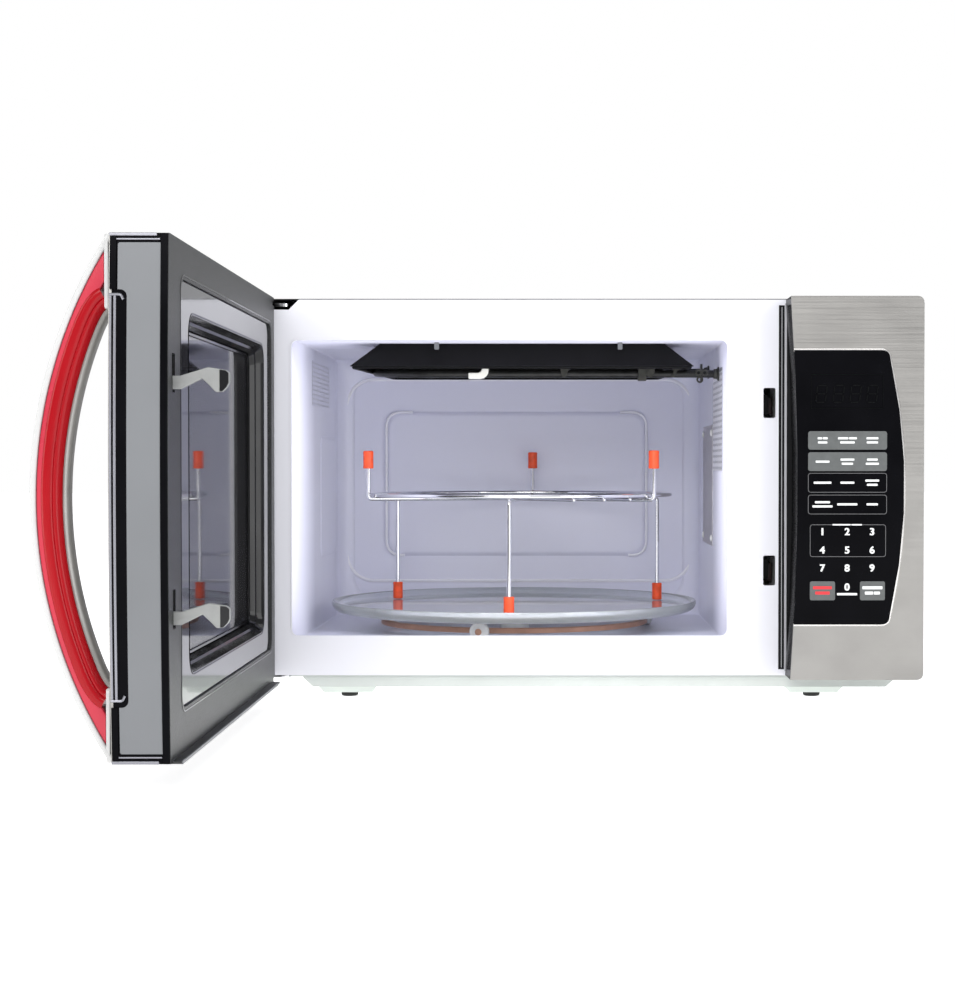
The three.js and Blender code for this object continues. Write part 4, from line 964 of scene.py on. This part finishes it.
path = grip_path(12.6, 117.5)
outer_band = both_sides((-6.2, 9.6), (-5.4, 10.6), (-3.8, 10.95), (-1.2, 10.95), (0.4, 10.3), (1.0, 9.2))
inner_band = both_sides((0.6, 9.6), (1.4, 10.2), (2.2, 10.2), (3.6, 9.2), (4.9, 7.6), (5.7, 6.6))
on_door("handle_grip_outer", tube_of(outer_band, path), "red_gloss", slot="red_gloss", sharp=50)
on_door("handle_grip_inner", tube_of(inner_band, path), "red_gloss", slot="red_gloss", sharp=50)
back_band = both_sides((5.9, 6.2), (6.8, 6.6), (8.0, 6.0), (8.7, 5.0))
on_door("handle_backing_band", tube_of(back_band, path), "silver_plastic", slot="silver_plastic",
    replaces=("handle_backing",), sharp=50)

# ---------- turntable ----------
AXIS = (0, 171)


def plate_ripple(r, z, k):
    return -0.45 * (k % 2) if r > 158 and z < 17 else 0.0


plate_profile = [(0, 7.5), (60, 7.5), (100, 7.5), (140, 7.5), (150, 7.5), (153.6, 7.7), (157, 8.2),
    (159.6, 9.1), (161.6, 10.6), (163, 12.4), (163.8, 14.6), (163.9, 16.6), (163.2, 17.8), (161.8, 18.0),
    (160.6, 17.4), (159.0, 15.8), (157, 14.3), (154, 13.3), (151, 13.0), (140, 13.0), (100, 13.0),
    (60, 13.0), (0, 13.0)]
plate = lathe(plate_profile, AXIS, 240, plate_ripple)
lugs = [turned_along([(0, 0), (3.4, 0), (3.9, 0.8), (3.9, 5.6), (0, 5.6)],
    (19 * math.cos(math.radians(a)), 171 + 19 * math.sin(math.radians(a)), 2.5), (0, 0, 1), 16)
    for a in (30, 150, 270)]
place("turntable_plate", merged(plate, *lugs), "glass", "plate", slot="plate_glass",
    replaces=("glass_turntable",), sharp=60)
place("plate_track", lathe([(118, 7.35), (136, 7.35), (136, 7.0), (118, 7.0)], AXIS, 96), "glass", "plate",
    slot="plate_glass")

ring_profile = [(114, -2.6), (114.5, -3), (119.5, -3), (120, -2.6), (120, 1.1), (119.4, 1.5), (114.6, 1.5),
    (114, 1.1)]
ring_parts = [lathe(ring_profile, AXIS, 96)]
for a in (258, 18, 138):
    c, s = math.cos(math.radians(a)), math.sin(math.radians(a))
    start = (AXIS[0] + 116 * c, AXIS[1] + 116 * s, -1)
    ring_parts.append(turned_along([(0, 0), (1.5, 0), (1.5, 14.8), (2.8, 14.8), (2.8, 15.8), (1.6, 16.5),
        (0, 16.5)], start, (c, s, 0), 14))
    hub = (AXIS[0] + 113 * c, AXIS[1] + 113 * s, -1)
    ring_parts.append(turned_along([(0, 0), (3.6, 0), (3.8, 0.4), (3.8, 8.4), (3.4, 9.2), (0, 9.2)], hub,
        (c, s, 0), 16))
place("ring_body", merged(*ring_parts), "tan_plastic", "ring", slot="tan_plastic",
    replaces=("roller_ring",))
for index, (a, body) in enumerate(((258, "roller_a"), (18, "roller_b"), (138, "roller_c"))):
    c, s = math.cos(math.radians(a)), math.sin(math.radians(a))
    start = (AXIS[0] + 123.5 * c, AXIS[1] + 123.5 * s, -1)
    wheel = [(1.7, 0), (3.0, 0), (3.2, 0.9), (6.2, 0.9), (6.4, 0.2), (7.4, 0.2), (8.0, 0.9), (8.0, 6.1),
        (7.4, 6.8), (6.4, 6.8), (6.2, 6.1), (3.2, 6.1), (3.0, 7), (1.7, 7)]
    place(f"roller_wheel_{index + 1}", turned_along(wheel, start, (c, s, 0), 32), "white_plastic", body,
        slot="white_plastic", replaces=(f"roller_{index + 1}",))

# ---------- rack ----------
HUB = (6.5, 171)
UPPER, LOWER = (195, 86.7, 326), (23, 266.7, 150)


def polar(r, degrees, z):
    a = math.radians(degrees)
    return (HUB[0] + r * math.cos(a), HUB[1] + r * math.sin(a), z)


rack_parts = [wire([polar(134, 360 * k / 96, 112.5) for k in range(96)], 1.9, 12, True)]
for up, down in zip(UPPER, LOWER):
    route = [polar(139.6, up, 139), polar(139.6, up, 109), polar(136, down, 109), polar(136, down, 17)]
    rack_parts.append(wire(bend(route, 3.6, 6), 1.9, 12))
for offset in (-28, 0, 28):
    spread_by = math.degrees(math.asin(offset / 134))
    tips = [polar(136.3, 302 + spread_by, 109.4), polar(136.3, 122 - spread_by, 109.4)]
    rack_parts.append(wire(tips, 1.5, 10))
    for tip in tips:
        inward = (Vector((HUB[0], HUB[1], 109.4)) - Vector(tip)).normalized()
        rack_parts.append(turned_along([(0, -1.1), (0.7, -1.0), (1.3, -0.6), (1.5, 0), (1.5, 0.6),
            (0, 0.6)], tip, inward, 12))
place("rack_wires", merged(*rack_parts), "chrome", "rack", slot="chrome", replaces=("rack_frame",),
    sharp=60)
CAP = [(2.65, 0), (4.1, 0), (4.5, 0.4), (4.6, 1.4), (4.45, 3.0), (4.5, 12.0), (4.6, 14.4), (4.35, 15.3),
    (3.4, 15.75), (0, 15.8), (0, 13.2), (2.6, 13.2)]
for index in range(3):
    x, y, _ = polar(136, LOWER[index], 0)
    place(f"rack_foot_cap_{index + 1}", turned_along(CAP, (x, y, 29.1), (0, 0, -1), 24), "silicone",
        "rack", slot="silicone", replaces=(f"rack_foot_{index + 1}",))
    x, y, _ = polar(139.6, UPPER[index], 0)
    place(f"rack_tip_cap_{index + 1}", turned_along(CAP, (x, y, 135.8), (0, 0, 1), 24), "silicone", "rack",
        slot="silicone", replaces=(f"rack_tip_{index + 1}",))

# ---------- grill ----------
front, rear = HEATER["front"], HEATER["rear"]
loop = [(x, *front) for x in (187, 120, 40, -20)]
loop += [(-67 - 55 * math.sin(t), 150 - 55 * math.cos(t), 217.5 + 3.5 * (1 - math.cos(t)))
    for t in (math.pi * k / 20 for k in range(21))]
loop += [(x, *rear) for x in (-20, 40, 120, 187)]
fixed("heater_tube", wire(loop, HEATER["radius"], 16), "element_black", slot="element_black",
    replaces=("grill_element",))
for tag, (y, z) in (("front", front), ("rear", rear)):
    fixed(f"heater_collar_{tag}",
        turned_along([(3.3, 0), (6, 0), (6, 1.2), (4.6, 1.8), (4.2, 4.5), (3.3, 5)], (178.4, y, z),
        (-1, 0, 0), 20), "clip_steel")

curl = [(-37.7, 213.2), (-27.5, 213.0), (-24.6, 213.7), (-22.2, 215.2), (-20.7, 217.4), (-20.2, 220.0),
    (-20.2, 222.9), (-26.0, 222.9), (-26.2, 221.0), (-27.2, 219.4), (-29.0, 218.6), (-31.5, 218.4),
    (-37.7, 218.4)]
fixed("hanger_white", prism(curl, 89.8, 100.2), "ceramic", bevel=0.9, slot="ceramic",
    replaces=("element_hook_white",))
for i, (x, lean) in enumerate(((46, 0), (117, 4), (143, -3))):
    tab = [(x - 5, 224), (x + 6, 224), (x + 2 + lean, 219.5), (x + lean, 214.2), (x - 3 + lean, 214.6),
        (x - 4, 219)]
    fixed(f"hanger_tab_{i + 1}", prism(tab, 90.6, 91.7), "clip_steel", bevel=0.3)
plate_of_clip = pad((90.5, 99.5, 210.6, 226, 1.5), 162.1, 164, "yz")
eyes = [wire([(x + 2.2 * math.cos(t), 90, z + 2.2 * math.sin(t))
    for t in (2 * math.pi * k / 16 for k in range(16))], 0.9, 8, True)
    for x, z in ((160.4, 218.4), (165.8, 218.4), (161.6, 212.4))]
fixed("element_clip_plate", merged(plate_of_clip, *eyes), "clip_steel", bevel=0.3,
    replaces=("element_clip",))
for i, x in enumerate((-63, 92)):
    fixed(f"hood_tab_{i + 1}", pad((x - 2, x + 2, 236.5, 242.6, 0.8), 61.0, 62.4), "grey_and_painted_sheen", bevel=0.3)
rim = [(9, 62), (152, 62), (134.6, 262), (-116.6, 262), (-134, 62), (9, 62)]
fixed("hood_rim_bead", wire(bend([(x, y, 221.6) for x, y in rim], 5, 4), 1.5, 10), "reflector_black",
    slot="reflector_black")

# ---------- outside ----------
FOOT = [(0, -54.25), (5.6, -54.25), (6.8, -53.6), (7.1, -52.6), (7.1, -51.4), (6.6, -50.4), (0, -50.4)]
STEM = [(0, -50.6), (2.7, -50.6), (2.7, -46.2), (0, -46.2)]
FEET = (("front_left", -135, 45), ("front_right", 252, 45), ("rear_left", -135, 340),
    ("rear_right", 252, 340))
for index, (corner, x, y) in enumerate(FEET):
    fixed(f"foot_pad_{index + 1}", merged(lathe(FOOT, (x, y), 28), lathe(STEM, (x, y), 16)),
        "rubber_black", slot="rubber_black", replaces=(f"foot_{corner}",))


def slots(name, plane, depth, us, v0, v1, half):
    """Dark pads that stand in for open slots: painted shade that shows a little on both sides of the sheet.
    """
    parts = [pad((u - half, u + half, v0, v1, half * 0.98, 4), depth - 0.25, depth + 0.25, plane)
        for u in us]
    fixed(name, merged(*parts), "painted_hole_shade")


def louvres(name, plane, depth, us, v0, v1, half, rise):
    """Pressed louvres: half-round hoods that stand off the sheet."""
    parts = []
    for u in us:
        rings = []
        for k in range(7):
            a = math.pi * k / 6
            rings.append([at(plane, u - half * math.cos(a), v0, depth + rise * math.sin(a)),
                at(plane, u - half * math.cos(a), v1, depth + rise * math.sin(a))])
        parts.append(loft(rings, caps=False, closed=False))
    fixed(name, merged(*parts), "black_paint", slot="black_paint")


slots("right_vent_slots", "yz", COVER["right"], [230 + 9 * i for i in range(14)], 40, 92, 2.1)
slots("left_vent_slots", "yz", COVER["left"], [250 + 9 * i for i in range(11)], 172, 214, 2.1)
slots("top_vent_slots", "xy", COVER["top"], [-150 + 9 * i for i in range(12)], 300, 345, 2.1)
louvres("right_louvres", "yz", 330.6, [234.5 + 9 * i for i in range(13)], 108, 150, 2.6, 1.6)
for side, sign in (("left", -1), ("right", 1)):
    depth = COVER[side]
    fixed(f"{side}_side_emboss",
        band((28, 206, -8, 236, 12, 8), (31, 203, -5, 233, 10, 8), depth, depth + sign * 0.9, "yz"),
        "black_paint", bevel=0.4, slot="black_paint")
fixed("top_emboss", band((-180, 296, 28, 276, 14, 8), (-177, 293, 31, 273, 12, 8), COVER["top"], 274.8,
    "xy"), "black_paint", bevel=0.4, slot="black_paint")
fixed("rear_emboss", band((-150, 190, 10, 150, 10, 8), (-147, 187, 13, 147, 8, 8), COVER["rear"], 385.9),
    "zinc_steel", bevel=0.4, slot="zinc_steel")
fixed("rear_spacer", pad((20, 52, 228, 244, 4), COVER["rear"], 397.0), "black_plastic", bevel=1.2)
for i, (x, z) in enumerate(((-203, 262), (-203, -30), (320, 262), (320, 60), (60, 262), (200, 262),
        (-203, 120))):
    screw(f"rear_screw_{i + 1}", (x, COVER["rear"], z), (0, 1, 0))
for i, (y, z) in enumerate(((374, 250), (374, -20))):
    screw(f"right_screw_{i + 1}", (330.6, y, z), (1, 0, 0), "black_paint")
    screw(f"left_screw_{i + 1}", (-212, y, z), (-1, 0, 0), "black_paint")

# ---------- studio ----------
def floor_material():
    mat, tree, shader = shader_of("pale_floor", (0.93, 0.93, 0.93), 0.9, 0.0, {})
    tone = noise(tree, 2.0, 2, (1, 1, 1))
    tree.links.new(tint(tree, tone, (0.92, 0.92, 0.92), (0.94, 0.94, 0.94)), shader.inputs["Base Color"])
    shader.inputs["Emission Color"].default_value = (1, 1, 1, 1)
    shader.inputs["Emission Strength"].default_value = 0.7
    return mat


floor_mesh = bpy.data.meshes.new("floor")
floor_mesh.from_pydata([(-9, -6, 0), (9, -6, 0), (9, 12, 0), (-9, 12, 0)], [], [(0, 1, 2, 3)])
floor = bpy.data.objects.new("floor", floor_mesh)
floor_mesh.materials.append(floor_material())
bpy.context.scene.collection.objects.link(floor)
floor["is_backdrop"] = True

world = bpy.data.worlds.new("studio")
world.use_nodes = True
bpy.context.scene.world = world
sky = world.node_tree
for node in list(sky.nodes):
    sky.nodes.remove(node)


def background(colour, strength):
    node = sky.nodes.new("ShaderNodeBackground")
    node.inputs["Color"].default_value = (*colour, 1)
    node.inputs["Strength"].default_value = strength
    return node.outputs[0]


# The camera sees plain white; the object is lit by a dimmer, slightly cool dome.
out = sky.nodes.new("ShaderNodeOutputWorld")
path_kind = sky.nodes.new("ShaderNodeLightPath")
mix = sky.nodes.new("ShaderNodeMixShader")
sky.links.new(path_kind.outputs["Is Camera Ray"], mix.inputs[0])
sky.links.new(background((0.97, 0.98, 1), 0.55), mix.inputs[1])
sky.links.new(background((1, 1, 1), 1.0), mix.inputs[2])
sky.links.new(mix.outputs[0], out.inputs["Surface"])


def softbox(name, position, target, size, watts):
    lamp = bpy.data.lights.new(name, "AREA")
    lamp.shape = "RECTANGLE"
    lamp.size, lamp.size_y = size
    lamp.energy = watts
    box = bpy.data.objects.new(name, lamp)
    box.location = position
    aim = Vector(target) - Vector(position)
    box.rotation_euler = aim.to_track_quat("-Z", "Y").to_euler()
    bpy.context.scene.collection.objects.link(box)
    return box


# Name, place, target, size and watts, in metres.
LAMPS = (
    ("key", (-0.5, -2.3, 1.3), (0.0, 0.1, 0.15), (1.5, 1.1), 24),
    ("fill", (1.6, -1.6, 0.7), (-0.1, 0.0, 0.15), (0.9, 1.3), 11),
    ("top", (0.1, 0.1, 1.7), (0.0, 0.0, 0.1), (1.6, 1.2), 9),
    ("left", (-1.7, -0.9, 0.6), (-0.2, -0.2, 0.15), (0.7, 1.3), 8),
)
for lamp_row in LAMPS:
    softbox(*lamp_row)
# A weak panel in the mouth, which lights the cavity and isn't seen itself.
inside = softbox("inside", MODEL @ Vector((0, 3, 118)), MODEL @ Vector((0, 300, 118)), (0.34, 0.22), 0.23)
inside.visible_camera = False
inside.visible_glossy = False

CAMERA = {"lens": 67.651, "shift": -0.0824, "place": (41.17, -1528.43, 137.89), "tilt": 1.0304}
camera_data = bpy.data.cameras.new("camera")
camera_data.sensor_width = 36
camera_data.lens = CAMERA["lens"]
camera_data.shift_x = CAMERA["shift"]
camera_data.clip_start = 0.05
camera = bpy.data.objects.new("camera", camera_data)
camera.location = MODEL @ Vector(CAMERA["place"])
camera.rotation_euler = (math.radians(90 - CAMERA["tilt"]), 0, 0)
bpy.context.scene.collection.objects.link(camera)
bpy.context.scene.camera = camera
bpy.context.scene.view_settings.view_transform = "Standard"

low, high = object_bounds()
